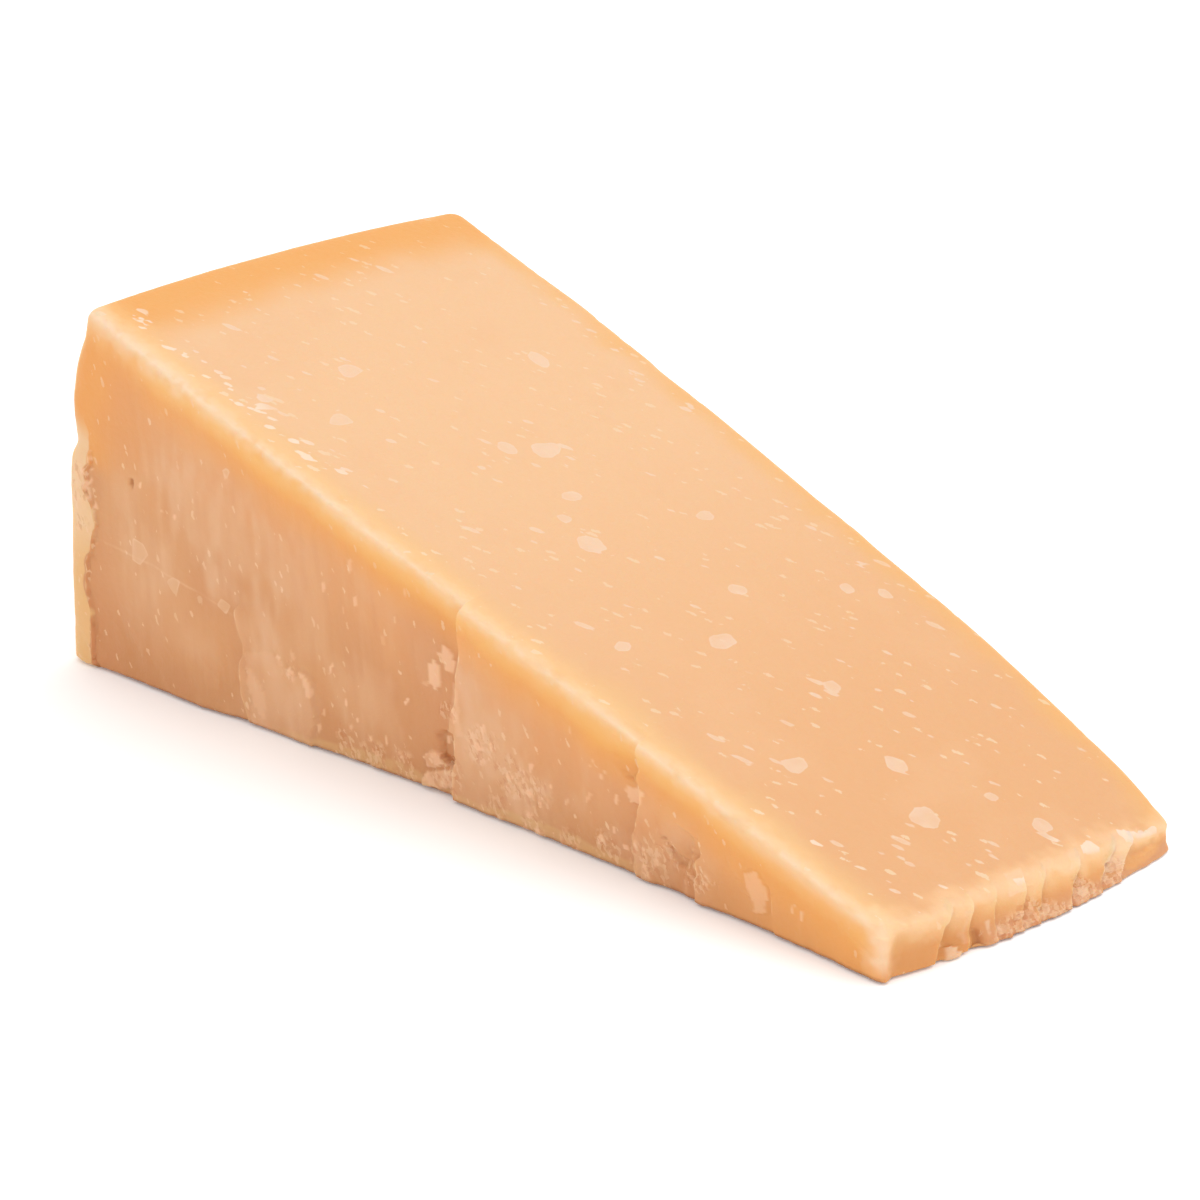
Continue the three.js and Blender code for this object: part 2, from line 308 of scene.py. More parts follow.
# %% From the box to the chunk
def place(a, b, c):
    """Points of the chunk for rows of grid lines along, across and up, and what is known there."""
    n = np.stack([a[:, 1], b[:, 1], c[:, 1]], axis=1)
    n = n / np.linalg.norm(n, axis=1, keepdims=True)
    round_x = np.where(n[:, 0] < 0, ROUND_RIND, ROUND_TIP)
    box_x = mix(ROUND_RIND, LENGTH - ROUND_TIP, a[:, 0]) + n[:, 0] * round_x
    t = box_x / LENGTH
    side, bottom, top = mix(*ROUND_SIDES, t), mix(*ROUND_BOTTOM, t), mix(*ROUND_TOP, t)
    width = mix(RIND_WIDTH, TIP_WIDTH, t)
    height = (CUTS_MEET - box_x) * TOP_SLOPE
    box_y = mix(side, width - side, b[:, 0]) + n[:, 1] * side
    box_z = mix(bottom, height - top, c[:, 0]) + n[:, 2] * np.where(n[:, 2] < 0, bottom, top)
    across, up = box_y / width, box_z / height
    tip_y = across * TIP_WIDTH

    x = box_x + rind_end(across, box_z) * (1 - t) ** 2
    x = x + tip_reach(tip_y, up) * smooth(1 - (LENGTH - box_x) / 40)
    x = x + crags(tip_y, up) * smooth(1.4 * n[:, 0])
    for breaks, face, seed, fade in (
        ([RIND_LIP], 1 - across, 11, 7),
        (NEAR_BREAKS, 1 - across, 12, 9),
        (FAR_BREAKS, across, 31, 9),
    ):
        for m, br in enumerate(breaks):
            reach = smooth(1 - np.abs(box_x - br["at"]) / fade) * smooth(2 * face - 1)
            x = x + (br["lean"] * box_z + br["jag"] * jag(box_z, seed + m)) * reach

    shifts = np.array(FEET) - np.array(HEADS)
    waver = 0.5 * noise(box_z / 2.2, tip_y / 6, 77)
    inside = np.clip(np.minimum(tip_y, TIP_WIDTH - tip_y) / 4, 0, 1)
    slant = np.interp(tip_y, HEADS, shifts) * (1 - np.clip(up, 0, 1) ** 2.5) + waver * inside
    warped_y = box_y + slant * smooth(1 - (LENGTH - box_x) / 12)
    y = mix(near_side(box_x, up), far_side(box_x, up), warped_y / width)
    near_plates = plates(box_x, box_z, NEAR_BREAKS) + rind_lip(box_x, box_z)
    y = y - near_plates * smooth(1 - box_y / 8)
    y = y + plates(box_x, box_z, FAR_BREAKS) * smooth(1 - (width - box_y) / 8)
    z = up * top_height(x, across * width)
    known = {
        "point": np.stack([x, y, z], axis=1), "turn": n, "up": up, "tip_y": tip_y, "box_x": box_x,
        "from_rind": box_x, "from_tip": LENGTH - box_x, "from_near": box_y,
        "from_far": width - box_y, "under_top": height - box_z, "lift": box_z,
    }
    return known


# %% [markdown]
# The six faces of the box share the points of their edges, so the skin has no seams. The whole
# underside is one flat polygon inside its rounded rim: nothing there would ever show.


# %% The grid of the skin
def skin(spacing, across_spacing, upward_spacing, round_steps, gap):
    """What is known at every point of the skin, and its squares but those of the underside."""
    breaks = [b["at"] for b in [RIND_LIP] + NEAR_BREAKS + FAR_BREAKS]
    along = grid_lines(ROUND_RIND, LENGTH - ROUND_TIP, pairs(breaks, gap), spacing, round_steps)
    side = ROUND_SIDES[1]
    heads = pairs(HEADS[1:-1], gap)
    across = grid_lines(side, TIP_WIDTH - side, heads, across_spacing, round_steps)
    upward = grid_lines(0.0, 1.0, [], upward_spacing, round_steps)
    shape = (len(along), len(across), len(upward))
    i, j, k = np.meshgrid(*(np.arange(count) for count in shape), indexing="ij")
    flat = [(line == 0) | (line == count - 1) for line, count in zip((i, j, k), shape)]
    outside = flat[0] | flat[1] | flat[2]
    underside = (k == 0) & (np.abs(along[i, 1]) < 1) & (np.abs(across[j, 1]) < 1)
    ring = round_steps
    hidden = underside & (i > ring) & (i < shape[0] - 1 - ring)
    hidden = hidden & (j > ring) & (j < shape[1] - 1 - ring)
    used = outside & ~hidden
    number = np.full(shape, -1)
    number[used] = np.arange(used.sum())
    known = place(along[i[used]], across[j[used]], upward[k[used]])

    def squares(grid, turned):
        corners = np.stack([grid[:-1, :-1], grid[1:, :-1], grid[1:, 1:], grid[:-1, 1:]], axis=-1)
        corners = corners.reshape(-1, 4)
        corners = corners[(corners >= 0).all(axis=1)]
        return corners[:, ::-1] if turned else corners

    faces = [
        squares(number[:, :, -1], False), squares(number[:, :, 0], True),
        squares(number[:, 0, :], False), squares(number[:, -1, :], True),
        squares(number[-1], False), squares(number[0], True),
    ]
    low, high_i, high_j = ring, shape[0] - 1 - ring, shape[1] - 1 - ring
    rim = list(number[low, low:high_j, 0]) + list(number[low:high_i, high_j, 0])
    rim += list(number[high_i, high_j:low:-1, 0]) + list(number[high_i:low:-1, low, 0])
    return known, np.concatenate(faces), rim


# A coarse skin has the grid of the solid, so its middle is the solid's.
coarse = skin(7.5, 6.5, 0.125, 3, 0.3)[0]["point"]
middle = (coarse.min(axis=0) + coarse.max(axis=0)) / 2 * [1, 1, 0]
print("box of the coarse skin, mm:", (coarse.max(axis=0) - coarse.min(axis=0)).round(2))

# %% [markdown]
# The fine skin has the same form with a point every half millimetre, enough for crumbs. A
# `quick_grid` above 1 makes it coarser.

# %% The fine skin
GRID_ALONG, GRID_ACROSS, GRID_UP = 0.58, 0.50, 0.0108  # mm, mm and a part of the height
quick_grid = 1.0
known, squares, rim = skin(
    GRID_ALONG * quick_grid, GRID_ACROSS * quick_grid, GRID_UP * quick_grid, 4, 0.16)
print("points of the skin:", len(known["point"]), "squares:", len(squares))

# %% [markdown]
# ## Relief in the skin
#
# Close up, the sides are a landscape: thin flakes have lifted or come off, crumbs cling near the
# floor and fine streaks run up where the fibres of the curd tore. Bump in a material only bends
# the light, so everything a finger could feel is moved in the mesh, along its normals.


# %% Flakes
def flake(outline, rise, pale, tilt=0.0):
    """A thin plate with an angular outline in x and z. Rise is its height in mm; tilt lifts its
    edge further from the rind (or the nearer one, below 0)."""
    return {"outline": np.array(outline, float), "rise": rise, "pale": pale, "tilt": tilt}


def chip(x, z, wide, high, lean, rise, pale, seed):
    """A small flake: an uneven polygon, as tall as `high`, that leans by `lean` degrees."""
    draws = np.random.default_rng(seed)
    corners = 7
    turn = (np.arange(corners) + draws.uniform(-0.25, 0.25, corners)) * math.tau / corners
    reach = draws.uniform(0.75, 1.15, corners)
    u, v = np.cos(turn) * reach * wide / 2, np.sin(turn) * reach * high / 2
    a = math.radians(lean)
    outline = np.stack([x + u * math.cos(a) + v * math.sin(a),
                        z - u * math.sin(a) + v * math.cos(a)], axis=1)
    return flake(outline, rise, pale)


print("corners of a chip:", len(chip(0, 0, 1, 2, 10, 0.1, 0.5, 1)["outline"]))

# %% [markdown]
# The near side is the one that shows, so its larger flakes are placed one by one. Below 0, rise is
# a hollow, and a pale below 0 paints shade into it.

# %% Flakes of the near side
NEAR_FLAKES = [
    # The broad plate past the first break, and the pale strip at its far end.
    flake([(45.8, 13.9), (52.4, 15.9), (55.4, 14.0), (58.1, 12.7), (59.4, 14.4), (62.4, 13.4),
           (62.4, 7.0), (61.5, 0.5), (46.3, 0.5)], 0.30, 0.32, tilt=0.5),
    flake([(59.0, 14.1), (60.9, 13.7), (62.5, 12.2), (62.6, 10.0), (61.0, 10.2)], 0.12, 0.8),
    # Two flakes at the second break, and the lump at its foot.
    flake([(92.0, 26.4), (93.3, 28.6), (95.2, 28.0), (95.8, 26.0), (95.2, 23.6), (92.9, 23.8)],
          0.22, 0.85),
    flake([(89.7, 23.6), (90.5, 25.2), (92.4, 24.2), (92.7, 21.6), (91.0, 20.2), (90.1, 21.2)],
          0.25, 0.95),
    flake([(94.9, 22.5), (97.3, 21.8), (96.8, 17.0), (97.2, 13.6), (95.4, 12.8)], 0.10, 0.45),
    flake([(88.2, 7.6), (90.2, 9.0), (91.9, 8.7), (92.3, 7.3), (90.8, 6.2), (88.9, 5.9)],
          0.30, 0.55, tilt=-0.4),
    flake([(88.9, 5.3), (91.2, 5.6), (92.6, 6.6), (94.9, 6.3), (94.6, 3.9), (91.2, 2.9),
           (87.4, 2.4)], 0.40, 0.65, tilt=-0.4),
    # A hollow beside the lump, with painted shade in it.
    flake([(91.2, 12.2), (93.0, 13.6), (94.6, 13.0), (94.9, 9.0), (94.0, 7.4), (92.2, 8.2)],
          -0.85, -1.0),
    # A crack in front of the fourth break, with painted shade in it.
    flake([(138.6, 10.2), (140.6, 8.5), (142.1, 7.2), (144.2, 7.4), (145.0, 8.4), (144.5, 6.6),
           (141.9, 6.3), (140.2, 7.8)], -0.50, -0.8),
    # The scoop before the third break and the flake under it.
    flake([(128.5, 22.7), (131.8, 23.5), (134.4, 23.0), (134.4, 19.2), (132.5, 16.9),
           (130.2, 18.1)], -0.40, 0.0, tilt=0.9),
    flake([(131.1, 16.9), (132.9, 15.9), (134.3, 17.2), (136.0, 16.2), (134.3, 13.6),
           (132.3, 13.2), (131.4, 15.0)], 0.22, 0.75),
    # The hollow that has come off before the fourth.
    flake([(139.0, 10.4), (141.5, 12.6), (144.8, 11.6), (144.6, 7.9), (142.9, 6.4), (140.7, 7.4)],
          -0.30, 0.0, tilt=0.8),
    flake([(154.5, 9.2), (157.0, 10.6), (159.2, 8.6), (158.9, 4.2), (156.8, 3.6), (155.6, 6.2)],
          0.22, 0.6),
    # A small hollow near the rind, with painted shade in it.
    flake([(19.2, 39.2), (20.2, 39.4), (20.0, 37.6), (19.3, 37.8)], -0.45, -0.8),
]

# %% [markdown]
# The small ones only need a place, a size and a lean. Each is an uneven polygon with its own
# seed, so it always comes out the same.

# %% Small flakes
# x, z, width, height, lean in degrees, paleness.
CHIPS = [
    (66.5, 31.1, 1.3, 2.6, 20, 0.7), (74.3, 31.0, 1.2, 2.8, 15, 0.7),
    (71.2, 28.5, 1.1, 2.0, 8, 0.5), (80.0, 25.5, 1.6, 2.4, 5, 0.4),
    (66.7, 16.6, 0.9, 3.0, 26, 0.9), (70.0, 11.6, 0.7, 1.6, 0, 1.2),
    (84.4, 16.0, 0.9, 1.9, 20, 1.3), (83.1, 30.0, 0.8, 1.8, 5, 0.6),
    (86.0, 35.6, 1.4, 2.6, 18, 0.6), (88.6, 36.6, 1.0, 2.2, 25, 0.6),
    (57.4, 16.6, 2.2, 1.6, 35, 0.5), (74.0, 37.0, 1.6, 3.4, 16, 0.6),
    (101.6, 15.6, 1.0, 3.2, 10, 0.7), (103.2, 13.6, 0.8, 2.2, 5, 0.7),
    (100.2, 12.6, 1.5, 1.6, 0, 0.6), (101.0, 10.6, 1.3, 2.2, 10, 0.6),
    (107.0, 9.8, 1.4, 2.6, 20, 0.7), (111.8, 12.8, 1.1, 2.4, 12, 0.8),
    (111.2, 8.2, 0.8, 1.3, 0, 1.3), (113.6, 6.9, 1.0, 1.0, 0, 1.2),
    (116.0, 10.8, 0.9, 1.0, 20, 0.9), (124.0, 11.5, 1.2, 2.2, 20, 0.6),
    (119.4, 9.4, 0.8, 2.0, 26, 0.6), (129.6, 13.0, 1.5, 1.8, 0, 0.8),
    (124.8, 17.8, 0.7, 2.2, 30, 0.7), (126.8, 16.3, 0.8, 2.6, 28, 0.7),
    (120.9, 22.4, 0.6, 2.2, 12, 0.6), (126.4, 5.2, 1.1, 1.6, 10, 0.9),
    (129.3, 7.8, 0.8, 2.0, -30, 0.9), (131.8, 5.8, 1.2, 1.0, 0, 0.9),
    (133.6, 7.0, 0.9, 2.0, 0, 0.8), (163.8, 6.6, 0.8, 2.2, 10, 0.8),
    (165.4, 6.0, 0.9, 2.4, 8, 0.8), (31.0, 35.2, 1.0, 1.5, 60, 0.9),
    (27.8, 35.4, 1.2, 1.4, 30, 0.7), (22.2, 38.6, 0.9, 1.3, 20, 1.0),
    (44.5, 45.4, 0.9, 1.7, 0, 0.6), (72.6, 9.2, 0.7, 1.6, 10, 1.0), (79.2, 7.4, 0.8, 2.2, 5, 0.9),
    (71.2, 7.4, 1.3, 1.8, 0, 0.6), (75.6, 6.6, 1.1, 1.6, 10, 0.6), (64.6, 8.2, 0.9, 2.0, 8, 0.7),
    (63.4, 5.2, 0.9, 2.4, 12, 0.7), (89.0, 20.4, 1.4, 1.2, 0, 0.5),
    (92.9, 11.3, 0.7, 1.7, 15, 1.2), (94.6, 36.2, 1.2, 1.6, 40, 0.7),
    (54.0, 15.2, 1.4, 1.0, 30, 0.9), (56.6, 13.6, 1.4, 0.9, 35, 0.9),
]
CHIP_RISE = 0.13
NEAR_FLAKES += [chip(x, z, wide, high, lean, CHIP_RISE, pale, seed)
                for seed, (x, z, wide, high, lean, pale) in enumerate(CHIPS)]
print("flakes of the near side:", len(NEAR_FLAKES))

# %% [markdown]
# Crumbs cling in patches at the foot of the breaks, and some areas have dried to a whitish bloom.

# %% Crumbs and dry areas
# Crumbly patches: x, z, radius.
NEAR_CRUMBS = [
    (70.0, 4.0, 4.0), (76.0, 4.0, 4.0), (83.0, 3.5, 4.0), (93.5, 5.5, 4.5), (94.0, 17.0, 2.6),
    (101.0, 13.0, 4.5), (107.5, 9.5, 4.5), (112.5, 8.5, 3.5), (104.0, 3.0, 3.0), (112.0, 2.8, 3.0),
    (120.0, 3.0, 3.0), (128.0, 4.5, 3.5), (137.0, 5.5, 5.0), (146.0, 5.5, 3.0), (56.5, 13.6, 2.2),
    (5.2, 33.0, 3.2), (5.0, 28.0, 2.6), (5.6, 38.0, 2.4),
]
# Dry, whitish areas: x, z, half their width and height, strength.
NEAR_BLOOMS = [
    (50.0, 20.0, 5.0, 11.0, 0.75), (54.0, 7.0, 9.0, 7.0, 0.45), (98.5, 16.0, 3.0, 10.0, 0.75),
    (103.0, 12.0, 6.0, 7.0, 0.75), (109.0, 7.0, 7.0, 5.0, 0.6), (133.0, 5.0, 6.0, 4.5, 0.55),
    (36.0, 38.0, 14.0, 9.0, 0.50), (44.0, 33.0, 8.0, 10.0, 0.60), (24.0, 26.0, 9.0, 9.0, 0.40),
    (56.0, 33.0, 6.0, 9.0, 0.45), (74.0, 12.0, 8.0, 8.0, 0.40),
    (139.5, 12.0, 4.0, 6.0, 0.35), (4.0, 33.0, 3.0, 6.0, 0.6), (120.0, 10.0, 5.0, 4.0, 0.3),
]
FAR_BLOOMS = [
    (30.0, 25.0, 9.0, 14.0, 0.5), (62.0, 14.0, 7.0, 10.0, 0.7), (95.0, 16.0, 8.0, 9.0, 0.6),
    (128.0, 8.0, 8.0, 6.0, 0.6), (150.0, 8.0, 6.0, 5.0, 0.4),
]
# Pale patches of the tip: y from and to, z from and to, paleness.
TIP_PATCHES = [
    (27.2, 30.9, 5.0, 9.0, 1.2), (41.4, 43.9, 5.0, 9.0, 0.8), (51.9, 56.2, 2.0, 9.0, 0.8),
    (57.4, 63.0, 4.6, 9.0, 0.6), (22.4, 23.8, 1.6, 3.8, 0.7), (16.9, 18.4, 1.2, 6.4, 0.5),
]
print("crumbly patches:", len(NEAR_CRUMBS), "dry areas:", len(NEAR_BLOOMS) + len(FAR_BLOOMS))

# %% [markdown]
# The far side never shows in the picture. It gets flakes and crumbs of the same kinds, drawn by
# chance, so that the part looks finished from behind.

# %% Flakes of the far side
random = np.random.default_rng(11)
FAR_PLACES = zip(np.linspace(14, 176, 40), random.uniform(0.10, 0.80, 40))
FAR_FLAKES = [
    chip(x, part * (top_height(x, TIP_WIDTH) - 4), random.uniform(1.2, 5.5), random.uniform(2, 6),
         random.uniform(-20, 30), random.uniform(-0.30, 0.35), random.uniform(0.2, 1.0), 100 + seed)
    for seed, (x, part) in enumerate(FAR_PLACES)
]
FAR_CRUMBS = [(x, random.uniform(2, 12), random.uniform(2.5, 5)) for x in np.linspace(18, 172, 15)]
print("flakes of the far side:", len(FAR_FLAKES), "crumbly patches:", len(FAR_CRUMBS))

# %% [markdown]
# ### Height over a broken side
#
# The relief of a side is a sum of layers: torn fibres, a slow swell, the flakes, flat scales and
# crumbs. Each flake's outline is made ragged by noise, or it would look cut with scissors. Each
# layer also says how pale it is, because a fresh break is lighter than the worn paste around it.


# %% Inside an outline
def inside_outline(x, z, outline):
    """How deep, in mm, each place lies inside a closed outline; below 0 outside."""
    away = np.full_like(x, 9.0)
    within = np.zeros(len(x), bool)
    for (ax, az), (bx, bz) in zip(outline, np.roll(outline, -1, axis=0)):
        along = np.clip(((x - ax) * (bx - ax) + (z - az) * (bz - az))
                        / ((bx - ax) ** 2 + (bz - az) ** 2), 0, 1)
        away = np.minimum(away, np.hypot(x - mix(ax, bx, along), z - mix(az, bz, along)))
        crosses = (az > z) != (bz > z)
        within ^= crosses & (x < mix(ax, bx, (z - az) / (bz - az + 1e-9)))
    return np.where(within, away, -away)


unit_square = np.array([(0.0, 0.0), (1.0, 0.0), (1.0, 1.0), (0.0, 1.0)])
print("the middle of a square lies this deep:", inside_outline(
    np.array([0.5]), np.array([0.5]), unit_square))

# %% [markdown]
# A flake lies on the side like a thin tile. One edge of it may lift, and its border is soft over
# a third of a millimetre so that the mesh can follow it.


# %% Flakes laid over a side
def lay_flakes(x, z, flakes, ragged, height, pale):
    """Adds flakes to the height and the paleness of a side, in place."""
    for f in flakes:
        low, high = f["outline"].min(axis=0) - 1.5, f["outline"].max(axis=0) + 1.5
        here = (x > low[0]) & (x < high[0]) & (z > low[1]) & (z < high[1])
        size = (high - low - 3) / 2
        inside = inside_outline(x[here], z[here], f["outline"])
        cover = smooth((inside + ragged[here] * min(1.0, size.min() / 1.5)) / 0.35 + 0.5)
        lift = (x[here] - (low[0] + high[0]) / 2) / size[0] * f["tilt"]
        height[here] += f["rise"] * cover * np.clip(1 + lift, 0, 1.6)
        # A pale below 0 is painted shade, blended in over the paleness; one above 0 only raises it.
        darker = f["pale"] < 0
        pale[here] = (mix(pale[here], f["pale"], cover) if darker
                      else np.maximum(pale[here], f["pale"] * cover))


tried = np.zeros((2, 1))
lay_flakes(np.zeros(1), np.zeros(1), [chip(0, 0, 3, 3, 0, 0.2, 0.5, 1)], np.zeros(1), *tried)
print("height and paleness in the middle of a flake:", tried.ravel().round(2))

# %% [markdown]
# Now the layers are added up. All of it fades out under the rim, where the knife's cut was clean.


# %% A broken side
def broken_side(x, z, room_above, flakes, crumbs, seed):
    """Height in mm over a side, how pale and how crumbly it is, at places x along and z up."""
    torn = 0.05 * noise(x / 1.7, z / 15, seed) + 0.03 * noise(x / 0.9, z / 7, seed + 1)
    slow = 0.22 * noise(x / 12, z / 16, seed + 2) + 0.08 * noise(x / 5, z / 9, seed + 3)
    height, pale = torn + slow, np.zeros_like(x)
    ragged = 0.35 * noise(x / 1.6, z / 1.8, seed + 20) + 0.22 * noise(x / 0.8, z / 0.8, seed + 21)
    lay_flakes(x, z, flakes, ragged, height, pale)

    # Scales: flat plates a few millimetres wide, more of them towards the floor.
    warped_x = x + 1.3 * noise(x / 3.1, z / 3.3, seed + 60) + 0.4 * z
    warped_z = z + 1.3 * noise(x / 2.9, z / 3.7, seed + 61)
    luck, border = cells(warped_x / 3.4, warped_z / 6.4, seed + 70)
    low_down = smooth(1.3 - z / 20)
    stands = smooth((luck - 0.76) / 0.03) - 0.8 * smooth((0.14 - luck) / 0.03)
    height += 0.12 * stands * smooth(border / 0.08) * low_down
    pale += 0.22 * smooth((luck - 0.84) / 0.03) * smooth(border / 0.10) * low_down

    # Crumbs: angular grains about a millimetre across, in patches.
    crumbly = np.zeros_like(x)
    for cx, cz, radius in crumbs:
        away = np.sqrt((x - cx) ** 2 + ((z - cz) / 0.9) ** 2) / radius
        crumbly = np.maximum(crumbly, smooth(1.3 - away + 0.8 * ragged))
    grain, gap = cells(warped_x / 1.2, warped_z / 1.6, seed + 80)
    height += crumbly * (0.30 * (grain - 0.5) * smooth(gap / 0.15) - 0.02)
    bright = 0.55 * smooth((grain - 0.60) / 0.2) * smooth(gap / 0.2) + 0.05
    pale += crumbly * bright * smooth(1 + 4 * pale)
    fade = smooth(room_above / 4 - 0.4)
    return height * fade, np.clip(pale, -1, 1.3) * fade, crumbly * fade


sample = np.linspace(0.0, 180.0, 7)
print("torn and uneven, mm:", broken_side(sample, sample / 9, 20 + sample, [], [], 200)[0].round(2))

# %% [markdown]
# The near side adds its own features to that: the rind's lip with its crumbly edge.


# %% Near side
def near_relief(known):
    """Height, paleness and crumbliness of the near side."""
    x, y, z = known["point"].T
    # The flakes were placed as if this side were flat. Where it is hollow, they move along the
    # line of sight.
    hollow = np.maximum(y, 0.0)
    height, pale, crumbly = broken_side(
        x + hollow, z + 0.65 * hollow, known["under_top"], NEAR_FLAKES, NEAR_CRUMBS, 200)
    # The paste bulges against the rind's lip, so the lip stands lower. Its edge is crumbly.
    grain, gap = cells(x / 0.9, z / 1.0, 418)
    at_lip = smooth(1.2 - np.abs(known["box_x"] - RIND_LIP["at"]) / 1.4) * smooth((44 - z) / 4)
    height = height - 0.5 * rind_lip(known["box_x"], z)
    height = height + 0.45 * (grain - 0.5) * smooth(gap / 0.2) * at_lip
    pale = pale + 0.9 * smooth((grain - 0.5) / 0.2) * at_lip * smooth((z - 22) / 5)
    return height, pale, crumbly


near_height, near_pale, near_crumbly = near_relief(known)
print("height of the near side, mm:", np.percentile(near_height, [1, 50, 99]).round(2))

# %% [markdown]
# ### Height over the tip
#
# The tip is where the chunk snapped off. Its upper edge is worn smooth, and the lower part is
# crumbly from the third ridge to the far corner. A dark slit opens past the second ridge, a small
# block sits on the floor before that ridge, and the far corner has a soft dent.

# %% Tip
SLIT_AT, BLOCK_AT = 20.4, 12.9  # y of the slit and of the block
DENT_Y, DENT_Z = 59.6, 3.6


def tip_relief(known):
    """Height, paleness and crumbliness of the tip."""
    x, y, z = known["point"].T
    nx, tip_y, up = known["turn"][:, 0], known["tip_y"], known["up"]
    rough, gap = cells(y / 0.95 + 0.6 * noise(y, z, 410), z / 1.0, 411)
    grain = noise(y / 1.1, z / 1.2, 412, x / 1.5) + 0.6 * noise(y / 2.3, z / 2.0, 413, x / 2)
    splinter, chink = cells(y / 0.75 + 0.4 * z, z / 1.3, 416)
    crumbly = smooth((0.80 - up + 0.35 * noise(y / 4, 0, 414)) / 0.3)
    crumbly = crumbly * (smooth((tip_y - 22) / 4) * smooth((58 - tip_y) / 3))
    height = crumbly * (0.14 * grain + 0.32 * (rough - 0.5) * smooth(gap / 0.2))
    height += crumbly * 0.24 * (splinter - 0.5) * smooth(chink / 0.25)
    height += 0.10 * noise(y / 1.3 + z / 4, z / 6, 415) * smooth((tip_y - 8) / 4)

    off_slit = np.abs(tip_y - SLIT_AT) / (0.5 + 0.22 * (4 - z))
    height -= 0.9 * smooth(1.3 - off_slit) * smooth((3.8 - z) / 2) * (tip_y > 18.5)
    block = smooth((1.4 - np.abs(y - BLOCK_AT) + 0.4 * grain) / 0.4)
    block = block * smooth((1.6 + 0.7 * rough - z) / 0.3)
    off_dent = np.hypot((tip_y - DENT_Y) / 2.9, (z - DENT_Z) / 1.6)
    dent = smooth((1.1 - off_dent + 0.25 * grain) / 0.5)
    height += 0.6 * block - 0.45 * dent

    patches = np.zeros_like(x)
    edge = 0.4 * noise(y / 1.2, z / 1.2, 417)
    for y_low, y_high, z_low, z_high, strength in TIP_PATCHES:
        inner = np.minimum(np.minimum(tip_y - y_low, y_high - tip_y),
                           np.minimum(z - z_low, z_high - z)) + edge
        patches = np.maximum(patches, strength * smooth(inner / 0.5 + 0.3))
    pale = smooth(1.6 * nx) * 0.6 * crumbly * smooth((rough - 0.6) / 0.1)
    pale += smooth(3 * nx) * np.maximum(1.1 * block, patches) * (1 - 0.8 * dent)
    return height, pale, crumbly


tip_height, tip_pale, tip_crumbly = tip_relief(known)
print("height of the tip, mm:", np.percentile(tip_height, [1, 50, 99]).round(2))

# %% [markdown]
# ### Every face at once
#
# A point may lie between two faces, so each face counts by how much the point turns to it. The
# rims have small bites, and at the floor the relief fades out: the chunk has to lie flat.


# %% Height over every face
def rim_bites(known):
    """Small chips out of the rounded edges of the cut, most of them along the near one."""
    x, y, z = known["point"].T
    nx, ny, nz = known["turn"].T
    rim = smooth(-4 * ny * np.clip(nz, 0, 1)) + 0.3 * smooth(4 * ny * np.clip(nz, 0, 1))
    rim += 0.6 * smooth(4 * nx * np.clip(nz, 0, 1))
    bite = noise(x / 3.2, y / 3.2, 431, z / 3.2) + 0.7 * noise(x / 1.3, y / 1.3, 432, z / 1.3)
    return 0.24 * rim * smooth((bite - 0.1) / 0.6)


x, y, z = known["point"].T
nx, ny, nz = known["turn"].T
near, far, tip = smooth(-1.6 * ny), smooth(1.6 * ny), smooth(1.6 * nx)
far_height, far_pale, far_crumbly = broken_side(
    x, z, known["under_top"], FAR_FLAKES, FAR_CRUMBS, 300)
top_swell = 0.05 * noise(x / 14, y / 11, 401) + 0.02 * noise(x / 3, y / 4, 402)
rind_swell = 0.06 * noise(y / 7, z / 9, 421) + 0.025 * noise(y / 1.4, z / 1.6, 422)
height = near * near_height + far * far_height + tip * tip_height
height += np.clip(nz, 0, 1) ** 2 * top_swell + smooth(-1.6 * nx) * rind_swell
height = (height - rim_bites(known)) * smooth(known["lift"] / 0.8)
pale = near * near_pale + far * far_pale + tip_pale
crumbly = near * near_crumbly + far * far_crumbly + tip * tip_crumbly
print("relief from", height.min().round(2), "to", height.max().round(2), "mm")

# %% [markdown]
# ### The mesh itself
#
# The points are moved along their normals, and clipped to the box of the solid so that nothing
# stands out of it. Edges with a sharp turn stay sharp in the shading, such as a break's.

# %% The mesh
SHARP_TURN = math.radians(48)
chunk_mesh = bpy.data.meshes.new("cheese")
points = (known["point"] - middle) * MM
chunk_mesh.from_pydata(points.tolist(), [], squares.tolist() + [[int(n) for n in rim]])
chunk_mesh.update()


def read(items, name):
    """Three numbers for each item, in one array."""
    values = np.zeros(len(items) * 3, np.float32)
    items.foreach_get(name, values)
    return values.reshape(-1, 3).astype(float)


points = points + read(chunk_mesh.vertex_normals, "vector") * (height * MM)[:, None]
points = np.clip(points, node_low, node_high)  # the skin stays inside the solid's box
chunk_mesh.vertices.foreach_set("co", points.astype(np.float32).ravel())
chunk_mesh.update()
chunk_mesh.shade_smooth()
chunk_mesh.set_sharp_from_angle(angle=SHARP_TURN)
print("triangles:", sum(len(p.vertices) - 2 for p in chunk_mesh.polygons))

# %% [markdown]
# ## Worn edges and shaded hollows, found by the shape
#
# A thin edge of cheese dries and looks cream. Each point is compared with the middle of its
# neighbours: where it stands out from them the surface is convex, and where it sinks below them
# the material paints shade. The number is kept on the mesh as an attribute, which a material can
# read.

# %% Convexity
edges = np.array([e.vertices[:] for e in chunk_mesh.edges])
ends = np.concatenate([edges, edges[:, ::-1]])
beside = np.stack([
    np.bincount(ends[:, 0], weights=points[ends[:, 1], axis], minlength=len(points))
    for axis in range(3)
], axis=1) / np.bincount(ends[:, 0], minlength=len(points))[:, None]
normals = read(chunk_mesh.vertex_normals, "vector")
convex = ((points - beside) * normals).sum(axis=1) / MM
print("convexity, mm:", np.percentile(convex, [1, 50, 99]).round(3))

